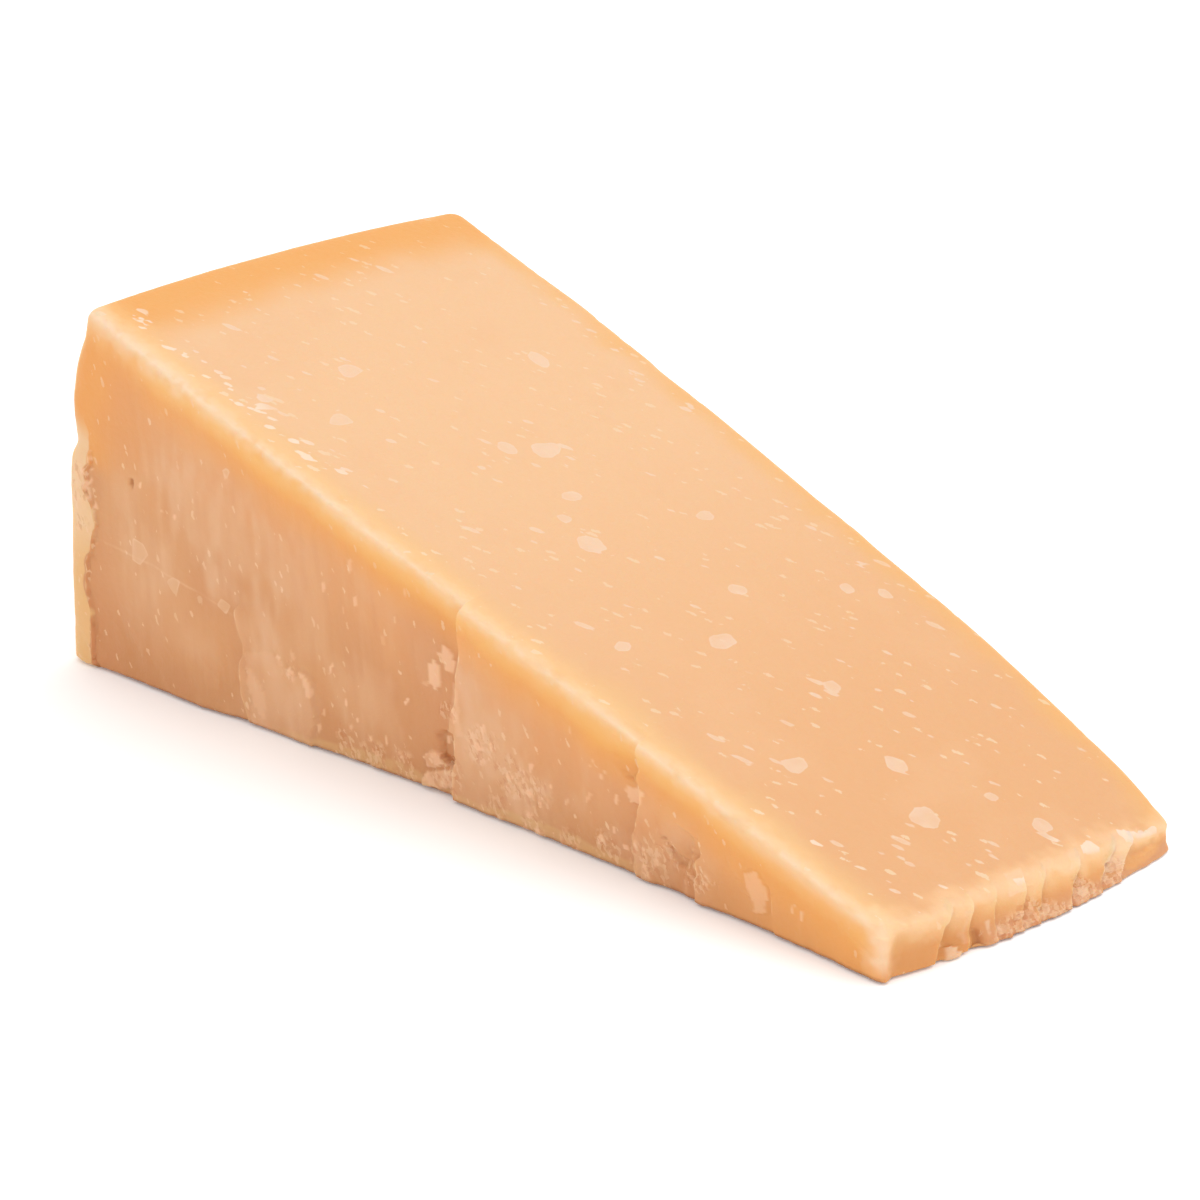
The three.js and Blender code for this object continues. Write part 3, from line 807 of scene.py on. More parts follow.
# %% [markdown]
# ## Numbers that the material reads
#
# The colour of this cheese depends on depth: the last two millimetres at an edge are cream, the
# band behind them is orange where light shines through, and deeper it is tan. So each point of
# the mesh keeps its distance from every face, and how much it faces each way. It also keeps where
# the white crystals are, which grow in the paste as it ripens.

# %% Large crystals
# White crystals in the cut top: x, y, and their two widths.
TOP_CRYSTALS = [
    (43.0, 28.5, 3.6, 4.9), (53.5, 16.0, 3.2, 4.4), (54.0, 64.0, 5.2, 3.7), (74.5, 44.0, 4.1, 5.5),
    (71.5, 37.5, 3.6, 3.6), (86.0, 37.5, 2.7, 3.8), (90.0, 31.5, 2.4, 2.4), (97.0, 30.0, 4.5, 5.2),
    (100.0, 55.5, 2.7, 3.5), (124.5, 30.5, 3.8, 5.7), (118.0, 14.5, 2.5, 3.5),
    (150.0, 17.5, 3.3, 5.1), (140.5, 38.5, 2.8, 3.3), (157.5, 32.5, 3.4, 4.1),
    (167.5, 26.5, 4.4, 5.7), (116.5, 44.0, 2.9, 3.7), (125.0, 62.5, 2.8, 2.8),
    (129.0, 67.5, 3.0, 2.5), (177.5, 43.0, 3.1, 3.8), (169.5, 41.0, 2.3, 2.3),
]
# Crystals in the near side: angular outlines in x and z.
SIDE_CRYSTALS = [
    [(19.0, 28.5), (21.8, 27.9), (23.2, 26.2), (20.6, 23.5), (18.3, 24.0)],
    [(27.3, 22.5), (29.1, 23.6), (31.2, 23.4), (30.5, 22.0), (29.7, 19.9), (28.4, 21.0)],
    [(39.4, 20.9), (40.9, 22.7), (43.0, 21.7), (41.5, 19.5)],
    [(34.8, 22.0), (36.3, 21.6), (36.0, 19.8), (35.0, 20.4)],
    [(14.7, 26.6), (15.8, 26.7), (15.4, 25.2)],
    [(43.6, 46.2), (44.8, 44.6), (45.8, 46.6), (44.9, 47.0)],
]
# Pale scales on the top behind the tip: outlines in x and y.
TOP_SCALES = [
    [(176.8, 27.9), (180.0, 27.2), (182.8, 26.9), (182.8, 26.3), (179.8, 26.7)],
    [(182.2, 28.2), (184.6, 28.4), (186.0, 31.2), (183.2, 31.2)],
    [(182.7, 45.0), (184.2, 44.2), (186.0, 46.2), (185.2, 48.6), (183.0, 47.6)],
    [(183.6, 54.2), (186.2, 53.4), (188.0, 57.0), (188.6, 61.0), (186.2, 61.6), (185.4, 57.6)],
    [(179.9, 13.3), (181.8, 14.2), (181.7, 13.7)],
    [(179.4, 18.7), (182.0, 18.4), (183.4, 17.0), (181.9, 17.8)],
]
print("large crystals:", len(TOP_CRYSTALS), "on top,", len(SIDE_CRYSTALS), "in the side")

# %% [markdown]
# The small crystals are too many to place by hand. They are scattered by chance in five areas of
# the top, more of them near the edges.


# %% Small crystals
def scatter(count, x_low, x_high, y_low, y_high):
    """Places and sizes of small crystals; y is measured from the near side, or below 0 from the
    far one."""
    x = random.uniform(x_low, x_high, count)
    y = random.uniform(y_low, y_high, count)
    y = np.where(y < 0, far_side(x, 1.0) + y, y)
    narrow = 0.55 + 0.75 * random.random(count) ** 2
    return np.stack([x, y, narrow, narrow * random.uniform(1.6, 3.2, count)], axis=1)


SMALL_CRYSTALS = np.concatenate([
    scatter(70, 14, 178, 9, 60), scatter(45, 138, 180, 4, 62), scatter(54, 12, 70, 2.6, 9),
    scatter(16, 30, 80, -9, -3), scatter(14, 90, 170, -10, -3),
])
print("small crystals:", len(SMALL_CRYSTALS))

# %% [markdown]
# A crystal breaks with flat faces, so its outline is a polygon. The skin keeps how deep each place
# lies inside the nearest one, and the material turns that into a white spot with a crisp edge.


# %% Crystals in the skin
GRAIN_TURN = math.radians(63)  # the small ones are long, and lie along the chunk
CRYSTAL_SIDES = 9


def crystal_depth(u, v, crystals, turn, seed):
    """How deep, in mm, each place lies inside the nearest crystal; below 0 outside. A crystal is
    an uneven polygon: the space on the inner side of some straight lines."""
    draws = np.random.default_rng(seed)
    best = np.full_like(u, -2.0)
    for centre_u, centre_v, wide, high in crystals:
        near_it = np.hypot(u - centre_u, v - centre_v) < max(wide, high) + 2
        du, dv = u[near_it] - centre_u, v[near_it] - centre_v
        along = (du * math.sin(turn) + dv * math.cos(turn)) / (high / 2)
        across = (du * math.cos(turn) - dv * math.sin(turn)) / (wide / 2)
        across = across * (1 + draws.uniform(-0.35, 0.35) * along)  # most taper to one end
        depth = np.full_like(du, 2.0)
        for side in range(CRYSTAL_SIDES):
            angle = (side + draws.uniform(-0.2, 0.2)) * math.tau / CRYSTAL_SIDES
            reach = draws.uniform(0.80, 1.12)
            depth = np.minimum(depth, reach - across * math.cos(angle) - along * math.sin(angle))
        best[near_it] = np.maximum(best[near_it], depth * min(wide, high) / 2)
    return best + 0.07 * noise(u / 0.9, v / 0.9, seed) + 0.07 * noise(u / 0.35, v / 0.35, seed + 9)


crystal_top = np.maximum(crystal_depth(x, y, TOP_CRYSTALS, 0.0, 501),
                         crystal_depth(x, y, SMALL_CRYSTALS, GRAIN_TURN, 502))
scale_edge = 0.35 * noise(x / 0.9, y / 0.9, 503) + 0.2 * noise(x / 0.5, y / 0.5, 504) - 0.1
for outline in TOP_SCALES:
    crystal_top = np.maximum(crystal_top, inside_outline(x, y, np.array(outline)) + scale_edge)
crystal_near = np.max([inside_outline(x, z, outline) for outline in SIDE_CRYSTALS], axis=0)
print("points inside a crystal:", int((crystal_top > 0).sum() + (crystal_near > 0).sum()))

# %% [markdown]
# Dry areas have soft, ragged borders. The speckles are plain noise of four sizes: the colours
# waver, deepen and streak by them, so nothing looks painted with a ruler.


# %% Dry areas and attributes
def speckle(size, size_up, seed):
    return noise(x / size, y / size, seed, z / size_up)


def bloom(patches, seed):
    """How dry and whitish a side is, from 0 to 1."""
    out = np.zeros_like(x)
    ragged = 0.5 * noise(x / 4, z / 6, seed) + 0.35 * noise(x / 1.3, z / 3, seed + 1)
    for across, up, half_wide, half_high, strength in patches:
        away = np.hypot((x - across) / half_wide, (z - up) / half_high)
        out = np.maximum(out, strength * smooth(1.25 - away + ragged))
    return out


dry = bloom(NEAR_BLOOMS, 611) * smooth(-2 * known["turn"][:, 1])
dry += bloom(FAR_BLOOMS, 621) * smooth(2 * known["turn"][:, 1])
plates_there = plates(known["box_x"], z, NEAR_BREAKS) * smooth(-2 * known["turn"][:, 1])
plates_there += plates(known["box_x"], z, FAR_BREAKS) * smooth(2 * known["turn"][:, 1])
per_point = {
    "from_rind": known["from_rind"], "from_tip": known["from_tip"],
    "from_near": known["from_near"], "from_far": known["from_far"],
    "under_top": known["under_top"], "lift": known["lift"],
    "pale": pale, "crumbly": crumbly, "dry": dry, "convex": convex, "stands": plates_there,
    "crystal_top": crystal_top, "crystal_near": crystal_near,
    "waver": 2.0 * speckle(9, 9, 601) + 1.0 * speckle(4, 4, 602),
    "tone": speckle(9, 12, 603) + 0.5 * speckle(4, 6, 604),
    "fibre": speckle(1.6, 9, 605) + 0.6 * speckle(0.9, 5, 606),
    "wear": speckle(2.8, 2.8, 607) + 0.7 * speckle(1.1, 1.1, 608),
}
for name, values in per_point.items():
    layer = chunk_mesh.attributes.new(name, "FLOAT", "POINT")
    layer.data.foreach_set("value", np.asarray(values, np.float32))
for name, values in (("at", known["point"]), ("turn", known["turn"])):
    layer = chunk_mesh.attributes.new(name, "FLOAT_VECTOR", "POINT")
    layer.data.foreach_set("vector", np.asarray(values, np.float32).ravel())
print("attributes:", len(per_point) + 2)

# %% [markdown]
# ## The paste material
#
# Node trees get hard to read when they are long, so the maths is written as Python. `Value`
# wraps one output of a node: adding or multiplying two of them adds a Math node and gives back
# its output. Colours don't go through Math nodes, which would turn them grey.


# %% A small language for shaders
class Value:
    """One output of a shader node."""

    def __init__(self, socket):
        self.socket = socket
        self.tree = socket.id_data

    def node(self, kind, settings=None, sockets=None, output=0):
        return add_node(self.tree, kind, settings, sockets, output)

    def beside(self, output):
        """Another output of the same node."""
        return Value(self.socket.node.outputs[output])

    def maths(self, operation, *parts):
        return self.node("ShaderNodeMath", {"operation": operation}, dict(enumerate(parts)))

    def __add__(self, other):
        return self.maths("ADD", self, other)

    def __sub__(self, other):
        return self.maths("SUBTRACT", self, other)

    def __rsub__(self, other):
        return self.maths("SUBTRACT", other, self)

    def __mul__(self, other):
        return self.maths("MULTIPLY", self, other)

    def __truediv__(self, other):
        return self.maths("DIVIDE", self, other)

    def __neg__(self):
        return self.maths("MULTIPLY", self, -1.0)

    def __pow__(self, other):
        return self.maths("POWER", self, other)

    def most(self, other):
        return self.maths("MAXIMUM", self, other)

    def step(self, low, high):
        """0 below low, 1 above high, and an even turn between them."""
        settings = {"interpolation_type": "SMOOTHSTEP"}
        return self.node("ShaderNodeMapRange", settings, {0: self, 1: low, 2: high})

    __radd__, __rmul__ = __add__, __mul__


def add_node(tree, kind, settings=None, sockets=None, output=0):
    """A node with its settings made first, then its sockets filled by a value or a link."""
    node = tree.nodes.new(kind)
    for name, setting in (settings or {}).items():
        setattr(node, name, setting)
    for name, given in (sockets or {}).items():
        if isinstance(given, Value):
            tree.links.new(given.socket, node.inputs[name])
        else:
            node.inputs[name].default_value = given
    return Value(node.outputs[output])


print("operators:", [name for name in vars(Value) if name.startswith("__r")])

# %% [markdown]
# The paste is coloured like a painting: a ground first, then coats over it. Each coat has a mask
# that says how strongly it covers, worked out from the numbers stored in the skin.


# %% The paste's helpers
def new_material(name):
    material = bpy.data.materials.new(name)
    material.use_nodes = True
    return material, material.node_tree, material.node_tree.nodes["Principled BSDF"]


cheese, tree, shader = new_material("hard_cheese_paste")


def stored(name, output="Fac"):
    """A number that the skin keeps."""
    return add_node(tree, "ShaderNodeAttribute", {"attribute_name": name}, output=output)


def blend(mask, first, second):
    """The first colour where the mask is 0 and the second where it is 1."""
    return add_node(tree, "ShaderNodeMix", {"data_type": "RGBA"}, {0: mask, 6: first, 7: second}, 2)


def coats(paint, layers):
    """Lays coats over a paint, one after the other. Each is a mask and a colour."""
    for mask, shade in layers:
        paint = blend(mask, paint, shade)
    return paint


def tell(part):
    print("nodes with", part + ":", len(tree.nodes))


at = stored("at", "Vector")
facing_x = add_node(tree, "ShaderNodeSeparateXYZ", {}, {0: stored("turn", "Vector")})
facing_y, facing_z = facing_x.beside(1), facing_x.beside(2)
from_rind, from_tip = stored("from_rind"), stored("from_tip")
from_near, from_far = stored("from_near"), stored("from_far")
under_top, lift = stored("under_top"), stored("lift")
waver, tone, fibre, wear = stored("waver"), stored("tone"), stored("fibre"), stored("wear")
stands, convex_here, pale_here = stored("stands"), stored("convex"), stored("pale")
tell("the numbers of the skin")

# %% [markdown]
# ### Colour of the cut top
#
# The top is peach in the middle. A band along the rind is orange, where the paste is drier, and
# all of it deepens towards the tip. Painted glow lies in a band along the near edge and a more
# yellow-orange one along the far edge, where light shines through the thin paste. The studio
# lights the top more strongly than the sides, so `seen` says how a colour looks under how much
# light.


# %% Top colour
def seen(red, green, blue, light):
    """The paint that looks like this colour, 0 to 255 on a screen, where that much light falls.
    Light works with linear colours, so the screen's curve is taken out first."""
    parts = [c / 255 for c in (red, green, blue)]
    linear = [c / 12.92 if c <= 0.04045 else ((c + 0.055) / 1.055) ** 2.4 for c in parts]
    return tuple(c / light for c in linear) + (1.0,)


TOP_LIGHT, SIDE_LIGHT, TIP_LIGHT, RIND_LIGHT = 1.34, 1.18, 1.22, 1.0
PEACH, DEEP_PEACH = seen(250, 200, 151, TOP_LIGHT), seen(243, 182, 127, TOP_LIGHT)
top_paint = coats(blend(from_rind.step(60, 170), PEACH, DEEP_PEACH), [
    (tone.step(0.0, 1.0) * 0.35, seen(248, 193, 143, TOP_LIGHT)),
    # painted glow along the near and far edges of the top
    ((1 - (from_near + waver).step(2.0, 9.0)) * 0.7, seen(250, 198, 136, TOP_LIGHT)),
    ((1 - (from_far + waver).step(1.0, 8.0)) * 0.75, seen(250, 188, 112, TOP_LIGHT)),
    (1 - (from_rind + waver * 0.7).step(7.0, 22.0), seen(249, 177, 96, TOP_LIGHT)),
])
tell("the top")

# %% [markdown]
# ### Colour of the broken sides
#
# Deep under the top the paste is salmon and tan, with painted shade near the floor. Plates that
# stand proud are dry and pinkish, and painted shade darkens the paste sunk beside them.

# %% Paste of the sides
SALMON, TAN = seen(233, 166, 110, SIDE_LIGHT), seen(223, 161, 108, SIDE_LIGHT)
SHADED_TAN, DRY = seen(209, 148, 98, SIDE_LIGHT), seen(238, 190, 150, SIDE_LIGHT)
PINK, DEEP = seen(236, 183, 139, SIDE_LIGHT), seen(206, 134, 84, SIDE_LIGHT)
depth = under_top + waver * 0.8
side_paint = coats(blend(depth.step(9.0, 30.0), SALMON, TAN), [
    # painted shade near the floor
    ((1 - lift.step(2.0, 13.0)) * 0.6, SHADED_TAN),
    (tone.step(-0.1, 0.9) * 0.32, PINK),
    ((-tone).step(0.1, 1.0) * 0.25 * under_top.step(12, 24), DEEP),
    (fibre.step(0.1, 1.0) * 0.18, PINK),
    ((-fibre).step(0.2, 1.1) * 0.12, DEEP),
    (stored("dry") * (0.5 + 0.3 * fibre.step(-0.6, 0.8)), DRY),
    (stands.step(0.05, 0.45) * 0.45, PINK),
    # painted shade on the paste sunk before each proud plate
    ((-stands).step(0.15, 0.75) * 0.40, DEEP),
])
tell("the sides")

# %% [markdown]
# Light enters through the cut top and comes out again through the side, more orange the longer
# its way was. That makes a glowing band under the rim, and near the thin tip all of the side
# glows.

# %% Glow of the sides
GLOW, HONEY = seen(246, 170, 88, SIDE_LIGHT), seen(250, 186, 100, SIDE_LIGHT)
side_paint = coats(side_paint, [
    ((1 - depth.step(3.0, 13.0)) * 0.9, GLOW),
    ((1 - depth.step(2.0, 6.5)) * 0.8, HONEY),
    (from_rind.step(138, 165) * 0.55, GLOW),
])
tell("the glow")

# %% [markdown]
# The side changes again at its ends. The paste beside the rind is deeper, its crust is a strip of
# pale crumbs, and the lowest millimetres are a lighter fringe over a line of painted contact shade
# at the floor. Painted shade darkens the low corner by the rind and the paste beside the strip,
# and painted glow brightens the paste by the rind near the top.

# %% Sides by the rind and the floor
near_rind = (1 - (from_rind + waver).step(12, 28)) * (1 - under_top.step(14, 34))
shaded_low_corner = (1 - (from_rind + waver).step(14, 34)) * (1 - lift.step(8, 22))
fringe = (1 - (lift + waver * 0.7).step(2.4, 3.4)) * from_rind.step(50, 60)
fringe = fringe * (1 - from_rind.step(128, 138))
floor_contact_shade = 1 - lift.step(0.5, 1.3)
strip_shade = (1 - from_rind.step(8.0, 18.0)) * under_top.step(36, 48)
glow_strip = (1 - from_rind.step(7.0, 15.0)) * (1 - under_top.step(26, 32))
strip_edge = from_rind + waver * 0.35 + wear * 0.5
rind_strip = (1 - strip_edge.step(6.1, 6.7)) * under_top.step(20, 27)
crust = blend(lift.step(18, 30), seen(238, 186, 124, SIDE_LIGHT), seen(242, 198, 150, SIDE_LIGHT))
side_paint = coats(side_paint, [
    (near_rind * 0.6, seen(240, 160, 84, SIDE_LIGHT)),
    # painted shade in the low corner by the rind
    (shaded_low_corner * 0.5, seen(204, 134, 78, SIDE_LIGHT)),
    (fringe * 0.5, seen(228, 182, 124, SIDE_LIGHT)),
    # painted contact shade along the floor
    (floor_contact_shade * 0.8, seen(168, 98, 50, SIDE_LIGHT)),
    # painted shade beside the strip
    (strip_shade * 0.5, seen(216, 146, 94, SIDE_LIGHT)),
    # painted glow by the rind near the top
    (glow_strip * 0.7, seen(243, 166, 84, SIDE_LIGHT)),
    (rind_strip, crust),
])
tell("the ends of the sides")

# %% [markdown]
# ### Colour of the tip and the rind
#
# The tip is honey coloured, because it is thin and lets light through. Its crumbly part is drier
# and more pink, and the dent in its far corner glows.

# %% Tip colour
crumbly_tip = (1 - (lift + waver * 0.6).step(2.6, 6.2)) * from_near.step(18, 24)
off_dent_z, off_dent_y = (lift - DENT_Z) / 1.7, (from_far - (TIP_WIDTH - DENT_Y)) / 3.0
in_dent = 1 - (off_dent_z ** 2 + off_dent_y ** 2 + wear * 0.5).step(0.2, 1.7)
tip_paint = blend(under_top.step(1.0, 5.0), seen(243, 184, 122, TIP_LIGHT),
                  seen(229, 158, 92, TIP_LIGHT))
tip_paint = coats(tip_paint, [
    (crumbly_tip * 0.7, seen(222, 160, 116, TIP_LIGHT)),
    (in_dent * 0.6, seen(246, 178, 106, TIP_LIGHT)),
    (pale_here.step(0.1, 0.9) * 0.8, seen(244, 200, 162, TIP_LIGHT)),
])
tell("the tip")

# %% [markdown]
# The rind is smooth and pale brown, mottled where it was oiled and turned for months.

# %% Rind colour
rind_paint = blend(tone.step(-1.8, 1.8), seen(226, 168, 98, RIND_LIGHT),
                   seen(240, 191, 126, RIND_LIGHT))
rind_paint = coats(rind_paint, [
    (wear.step(-0.2, 1.2) * 0.25, seen(212, 150, 84, RIND_LIGHT)),
    ((-wear).step(0.2, 1.2) * 0.25, seen(246, 204, 146, RIND_LIGHT)),
])
tell("the rind")

# %% [markdown]
# Each face has its own paint now. The way that a point faces says which one shows, and round an
# edge one turns into the other.

# %% The faces together
paint = coats(side_paint, [
    (facing_z.step(0.35, 0.9), top_paint),
    (facing_x.step(0.45, 0.85), tip_paint),
    ((-facing_x).step(0.45, 0.85), rind_paint),
])
tell("the faces together")

# %% [markdown]
# ### Cream edges
#
# The rim of the cut is cream where it has dried, and a painted highlight brightens it: a bright
# core that comes and goes. Behind it lies a band of painted glow. The rim is widest near the
# rind. The distance from an edge is the larger of the distances from its two faces.

# %% The near rim
CREAM, HIGHLIGHT_CREAM = seen(254, 222, 186, 1.22), seen(255, 234, 208, 1.22)
towards_tip = from_rind.step(60, 100)
near_edge = under_top.most(from_near) * (1 - 0.3 * (1 - from_rind.step(10, 60)))
# how strongly the dried cream and its painted highlight cover
cream_and_highlight = (0.50 + 0.50 * wear.step(-0.7, 0.8)) * (1 - 0.2 * towards_tip)
highlight_core = (1 - (near_edge + wear * 0.55).step(0.0, 1.7)) * wear.step(-1.1, 0.5)
paint = coats(paint, [
    # painted glow: a yellow band behind the rim
    ((1 - (near_edge + wear * 0.6).step(0.3, 6.0)) * 0.55, seen(253, 206, 146, 1.2)),
    # the dried cream, with painted highlight
    ((1 - (near_edge + wear * 0.8).step(0.0, 3.0)) * cream_and_highlight, CREAM),
    # painted highlight: the bright core of the rim
    (highlight_core * (0.75 - 0.25 * towards_tip), HIGHLIGHT_CREAM),
])
tell("the near rim")

# %% [markdown]
# The tip has two such edges: its top one, cream with a painted highlight over a band of painted
# glow, and the worn corner where it meets the near side.

# %% Rims of the tip
tip_edge, corner_edge = under_top.most(from_tip), from_near.most(from_tip)
off_floor = 1 - (-facing_z).step(0.3, 0.6)
chamfer = (1 - (corner_edge + wear * 1.3).step(0.4, 5.0)) * lift.step(0.3, 4.0)
paint = coats(paint, [
    # painted glow under the tip's top edge
    ((1 - (tip_edge + wear * 1.3).step(0.2, 4.2)) * 0.55, seen(252, 206, 154, 1.2)),
    # the tip's dried cream edge, with painted highlight
    ((1 - (tip_edge + wear * 0.6).step(0.0, 2.2)) * 0.65 * cream_and_highlight, CREAM),
    (chamfer * off_floor * 0.7, seen(250, 203, 156, 1.15)),
    ((1 - (corner_edge + wear * 0.7).step(0.3, 2.2)) * chamfer * 0.6, CREAM),
])
tell("the rims of the tip")

# %% [markdown]
# Every small edge in the relief is worn a little too, and the hollows between get painted shade.
# The flakes and crumbs bring their own paleness, and below 0 it paints shade into the cracks.

# %% Worn places and hollows
worn = convex_here.step(0.05, 0.22) * wear.step(0.0, 1.0) * off_floor
paint = coats(paint, [
    (worn * 0.5, seen(250, 212, 172, 1.1)),
    # painted shade in the concave hollows
    ((-convex_here).step(0.08, 0.35) * 0.2, seen(218, 142, 84, 1.0)),
    (pale_here.step(0.1, 1.0) * 0.75 * (1 - facing_x.step(0.4, 0.8)), seen(240, 191, 151, 1.06)),
    # painted shade in the cracks and hollows
    ((-pale_here).step(0.1, 0.9) * 0.8, seen(186, 112, 58, 1.1)),
])
tell("the worn places")

# %% [markdown]
# A faint crease runs through the crystals of the near side. Its height is a flat arch, and the
# mask is thin where a place is close to that line.

# %% Crease
at_x = add_node(tree, "ShaderNodeSeparateXYZ", {}, {0: at})
crease_at = 24.6 + 0.09 * at_x - 0.0045 * at_x * at_x
off_crease = at_x.beside(2) - crease_at + waver * 0.16 + wear * 0.12
crease = (1 - off_crease.most(-off_crease).step(0.04, 0.4)) * (1 - at_x.step(36, 46))
crease = crease * at_x.step(6, 12) * (-facing_y).step(0.5, 0.8) * wear.step(-1.0, 0.6)
paint = blend(crease * 0.4, paint, seen(240, 190, 146, SIDE_LIGHT))
tell("the crease")

# %% [markdown]
# ### Flecks and crystals
#
# Flecks are a Voronoi pattern: the shader draws a spot round each of its random points, and the
# point's own random colour gives the size. The pattern is stretched the way the paste was pulled,
# along the chunk on the top and upwards on the sides, and shaken by noise.


# %% The places of the flecks
def stretched(turn, scale):
    """Places in millimetres, turned and then stretched."""
    return add_node(tree, "ShaderNodeMapping", {"vector_type": "TEXTURE"},
                    {"Vector": at, "Rotation": turn, "Scale": scale})


SIDE_LEAN = math.radians(-20)
on_top = facing_z.step(0.4, 0.8)
along_top = stretched((0, 0, -GRAIN_TURN), (1.0, 2.4, 1.6))
up_side = stretched((0, SIDE_LEAN, 0), (0.8, 1.2, 1.8))
turned = add_node(tree, "ShaderNodeMix", {"data_type": "VECTOR"},
                  {0: on_top.step(0.49, 0.51), 4: up_side, 5: along_top}, 1)
fine = add_node(tree, "ShaderNodeTexNoise", {},
                {"Vector": at, "Scale": 0.9, "Detail": 4.0, "Roughness": 0.6})
shaken = add_node(tree, "ShaderNodeVectorMath", {"operation": "MULTIPLY_ADD"},
                  {0: fine.beside("Color"), 1: (1.2, 1.2, 1.2), 2: turned})
tell("the places")

# %% [markdown]
# About a third of the Voronoi points get a spot. There are more on the top near its edge and its
# thin end.

# %% Flecks
FLECK_SPACING, FLECK_SHARE, FLECK_RADIUS = 1.35, 0.36, 0.40
away = add_node(tree, "ShaderNodeTexVoronoi", {}, {"Vector": shaken, "Scale": 1 / FLECK_SPACING})
luck = add_node(tree, "ShaderNodeSeparateColor", {}, {0: away.beside("Color")})
radius = (luck - (1 - FLECK_SHARE) - (1 - on_top) * 0.02) * (FLECK_RADIUS / FLECK_SHARE)
speck = (radius - away).step(-0.01, 0.09)
many = 0.45 + 0.25 * (1 - from_near.step(2.0, 10.0)) + 0.2 * from_rind.step(120, 170)
paint = coats(paint, [
    (speck * on_top * many, seen(254, 226, 188, TOP_LIGHT)),
    (speck * (1 - on_top) * (0.30 + 0.4 * wear.step(-1.0, 1.0)), seen(247, 204, 162, SIDE_LIGHT)),
])
tell("the flecks")

# %% [markdown]
# Crumbs are grains of many shades. A finer pattern makes some pale and some dark, but only where
# the relief is crumbly.

# %% Crumb grains
GRAINS_PER_MM = 1.6
grains = add_node(tree, "ShaderNodeTexVoronoi", {}, {"Vector": shaken, "Scale": GRAINS_PER_MM})
grain_luck = add_node(tree, "ShaderNodeSeparateColor", {}, {0: grains.beside("Color")})
crumbs_here = stored("crumbly").step(0.15, 0.9) * (1 - on_top)
paint = coats(paint, [
    (grain_luck.step(0.62, 0.80) * crumbs_here * 0.42, seen(248, 206, 166, SIDE_LIGHT)),
    ((1 - grain_luck.step(0.14, 0.26)) * crumbs_here * 0.30, seen(204, 124, 76, SIDE_LIGHT)),
])
tell("the grains")

# %% [markdown]
# The crystals are whitish with a painted highlight on their rim, and the ones by an edge get the
# brightest painted highlight.

# %% Crystal colours
in_top, in_near = stored("crystal_top"), stored("crystal_near")
crystals = in_top.step(-0.03, 0.12) * on_top
crystal_highlight = crystals * (1 - in_top.step(0.1, 0.45))
highlight_by_edges = (1 - from_near.step(6, 10)).most(1 - from_tip.step(3, 5))
side_crystals = in_near.step(-0.03, 0.15) * (-facing_y).step(0.4, 0.8)
side_crystal_highlight = side_crystals * (1 - in_near.step(0.15, 0.5))
paint = coats(paint, [
    (crystals * (0.5 + 0.3 * wear.step(-1.0, 1.0)), seen(251, 214, 182, TOP_LIGHT)),
    # painted highlight on the crystals by an edge
    (crystals * highlight_by_edges * 0.6, seen(255, 232, 208, 1.25)),
    # painted highlight on the rims of the top crystals
    (crystal_highlight * 0.15, seen(254, 226, 198, TOP_LIGHT)),
    (side_crystals * 0.45, seen(237, 190, 148, SIDE_LIGHT)),
    # painted highlight on the rims of the side crystals
    (side_crystal_highlight * wear.step(-0.8, 0.8) * 0.45, seen(246, 202, 162, SIDE_LIGHT)),
])
tell("the crystals")

# %% [markdown]
# Little light reaches the foot of the tip, where it curls under its crumbs, so a dark line runs
# there.

# %% The dark foot of the tip
tip_foot = (1 - (lift + wear * 0.15).step(0.5, 1.1)) * facing_x.step(0.2, 0.6)
tip_foot = tip_foot * from_near.step(20, 30) * from_far.step(5, 14)
paint = blend(tip_foot * 0.8, paint, seen(172, 104, 58, TIP_LIGHT))
tell("the dark foot")

# %% [markdown]
# ### Gloss, depth and grain
#
# Cheese is a little greasy, so it has a weak, uneven gloss. Light travels a few millimetres inside
# it, red the furthest, which the subsurface settings do. A slight bump is its finest grain.

# %% The shader's sockets
tree.links.new(paint.socket, shader.inputs["Base Color"])
dull = 0.44 + 0.25 * fine
tree.links.new(dull.socket, shader.inputs["Roughness"])
shader.inputs["Specular IOR Level"].default_value = 0.35
shader.inputs["Subsurface Weight"].default_value = 0.35
shader.inputs["Subsurface Radius"].default_value = (1.0, 0.45, 0.2)
shader.inputs["Subsurface Scale"].default_value = 3.0 * MM
bump = add_node(tree, "ShaderNodeBump", {},
                {"Height": fine * 0.25, "Distance": MM, "Strength": 0.6})
tree.links.new(bump.socket, shader.inputs["Normal"])
tell("everything")

# %% [markdown]
# ## The piece
#
# The skin becomes one object. It stands in for the solid, and it moves with the root body.

# %% The piece
chunk = bpy.data.objects.new("cheese_skin", chunk_mesh)
bpy.context.scene.collection.objects.link(chunk)
chunk_mesh.materials.append(cheese)
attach(chunk, "root")
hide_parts(CHUNK_NODE)
print("the piece measures, mm:", [round(v / MM, 1) for v in chunk.dimensions])

# %% [markdown]
# ## Floor, light and camera
#
# The picture is high key. The chunk lies on a white sheet, so bright that it has no grain: a
# little glow of its own keeps it white beside the shadow.

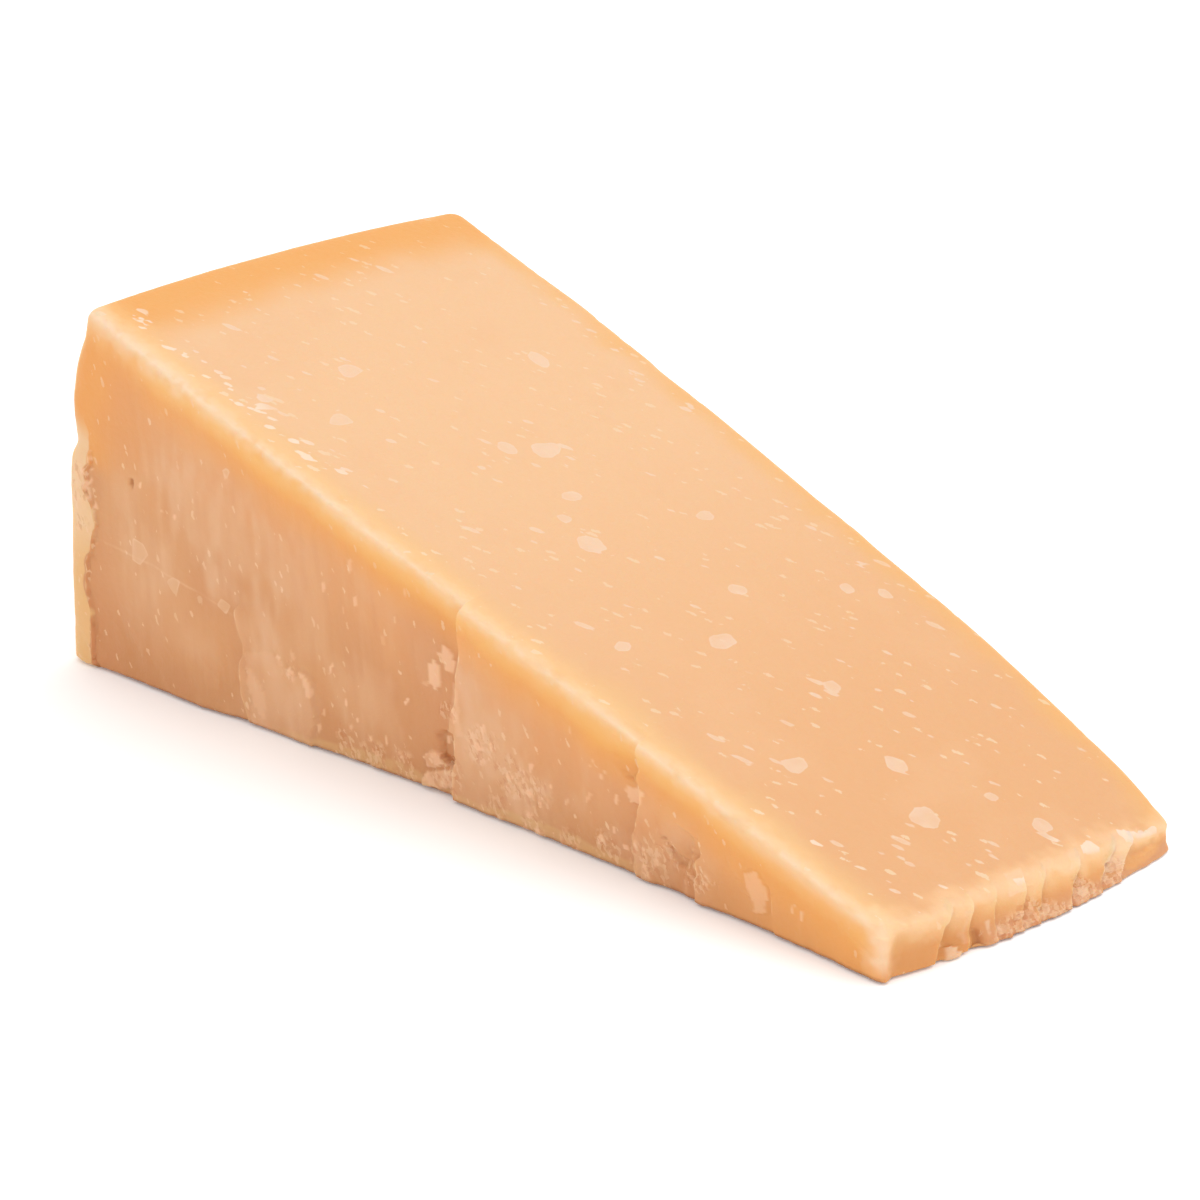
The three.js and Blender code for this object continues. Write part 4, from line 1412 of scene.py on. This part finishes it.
# %% Floor
HALF = 4.0  # metres, so that its edge is never seen
floor_mesh = bpy.data.meshes.new("floor")
corners = [(-HALF, -HALF, 0), (HALF, -HALF, 0), (HALF, HALF, 0), (-HALF, HALF, 0)]
floor_mesh.from_pydata(corners, [], [(0, 1, 2, 3)])
floor = bpy.data.objects.new("studio_floor", floor_mesh)
bpy.context.scene.collection.objects.link(floor)
paper, _, paper_shader = new_material("white_paper")
paper_shader.inputs["Base Color"].default_value = (0.94, 0.94, 0.94, 1)
paper_shader.inputs["Roughness"].default_value = 0.9
paper_shader.inputs["Specular IOR Level"].default_value = 0.1
paper_shader.inputs["Emission Color"].default_value = (0.88, 0.95, 1.0, 1)
paper_shader.inputs["Emission Strength"].default_value = 0.10  # overexposed, like the sheet
floor_mesh.materials.append(paper)
print("the floor is", 2 * HALF, "m wide")

# %% [markdown]
# A very soft light comes from behind and above, and fill from everywhere. A white sky does the
# fill, and a sun as wide as a window gives the soft shadow.

# %% Light
SKY_STRENGTH, SUN_POWER, SUN_WIDTH = 1.0, 1.1, math.radians(60)
SUN_FROM = Vector((0.15, 0.30, 1.0))
world = bpy.data.worlds.new("studio")
bpy.context.scene.world = world
world.use_nodes = True
background = world.node_tree.nodes["Background"]
background.inputs["Color"].default_value = (1.0, 1.0, 1.0, 1)
background.inputs["Strength"].default_value = SKY_STRENGTH
sun_data = bpy.data.lights.new("window", "SUN")
sun_data.energy, sun_data.angle = SUN_POWER, SUN_WIDTH
sun = bpy.data.objects.new("window", sun_data)
bpy.context.scene.collection.objects.link(sun)
sun.rotation_euler = SUN_FROM.to_track_quat("Z", "Y").to_euler()
bpy.context.scene.view_settings.view_transform = "Standard"
print("the sun stands", round(math.degrees(SUN_FROM.angle(Vector((0, 0, 1)))), 1), "degrees off")

# %% [markdown]
# The camera was worked out from seven corners that show in the picture. Azimuth and elevation say
# where it stands, seen from the point it aims at, and the distance is in millimetres.

# %% Camera
AZIMUTH, ELEVATION = math.radians(41.957), math.radians(21.475)
DISTANCE, AIM = 484.989, np.array([84.663, 46.128, 20.0])
back = np.array([
    math.sin(AZIMUTH) * math.cos(ELEVATION),
    -math.cos(AZIMUTH) * math.cos(ELEVATION),
    math.sin(ELEVATION),
])
camera_data = bpy.data.cameras.new("camera")
camera_data.lens, camera_data.sensor_width, camera_data.sensor_fit = 85, 36, "HORIZONTAL"
camera_data.clip_start, camera_data.clip_end = 0.01, 20
camera = bpy.data.objects.new("camera", camera_data)
bpy.context.scene.collection.objects.link(camera)
camera.location = Vector((AIM + DISTANCE * back - middle) * MM)
camera.rotation_euler = Vector(back).to_track_quat("Z", "Y").to_euler()
bpy.context.scene.camera = camera
print("camera at, m:", [round(v, 3) for v in camera.location])

# %% [markdown]
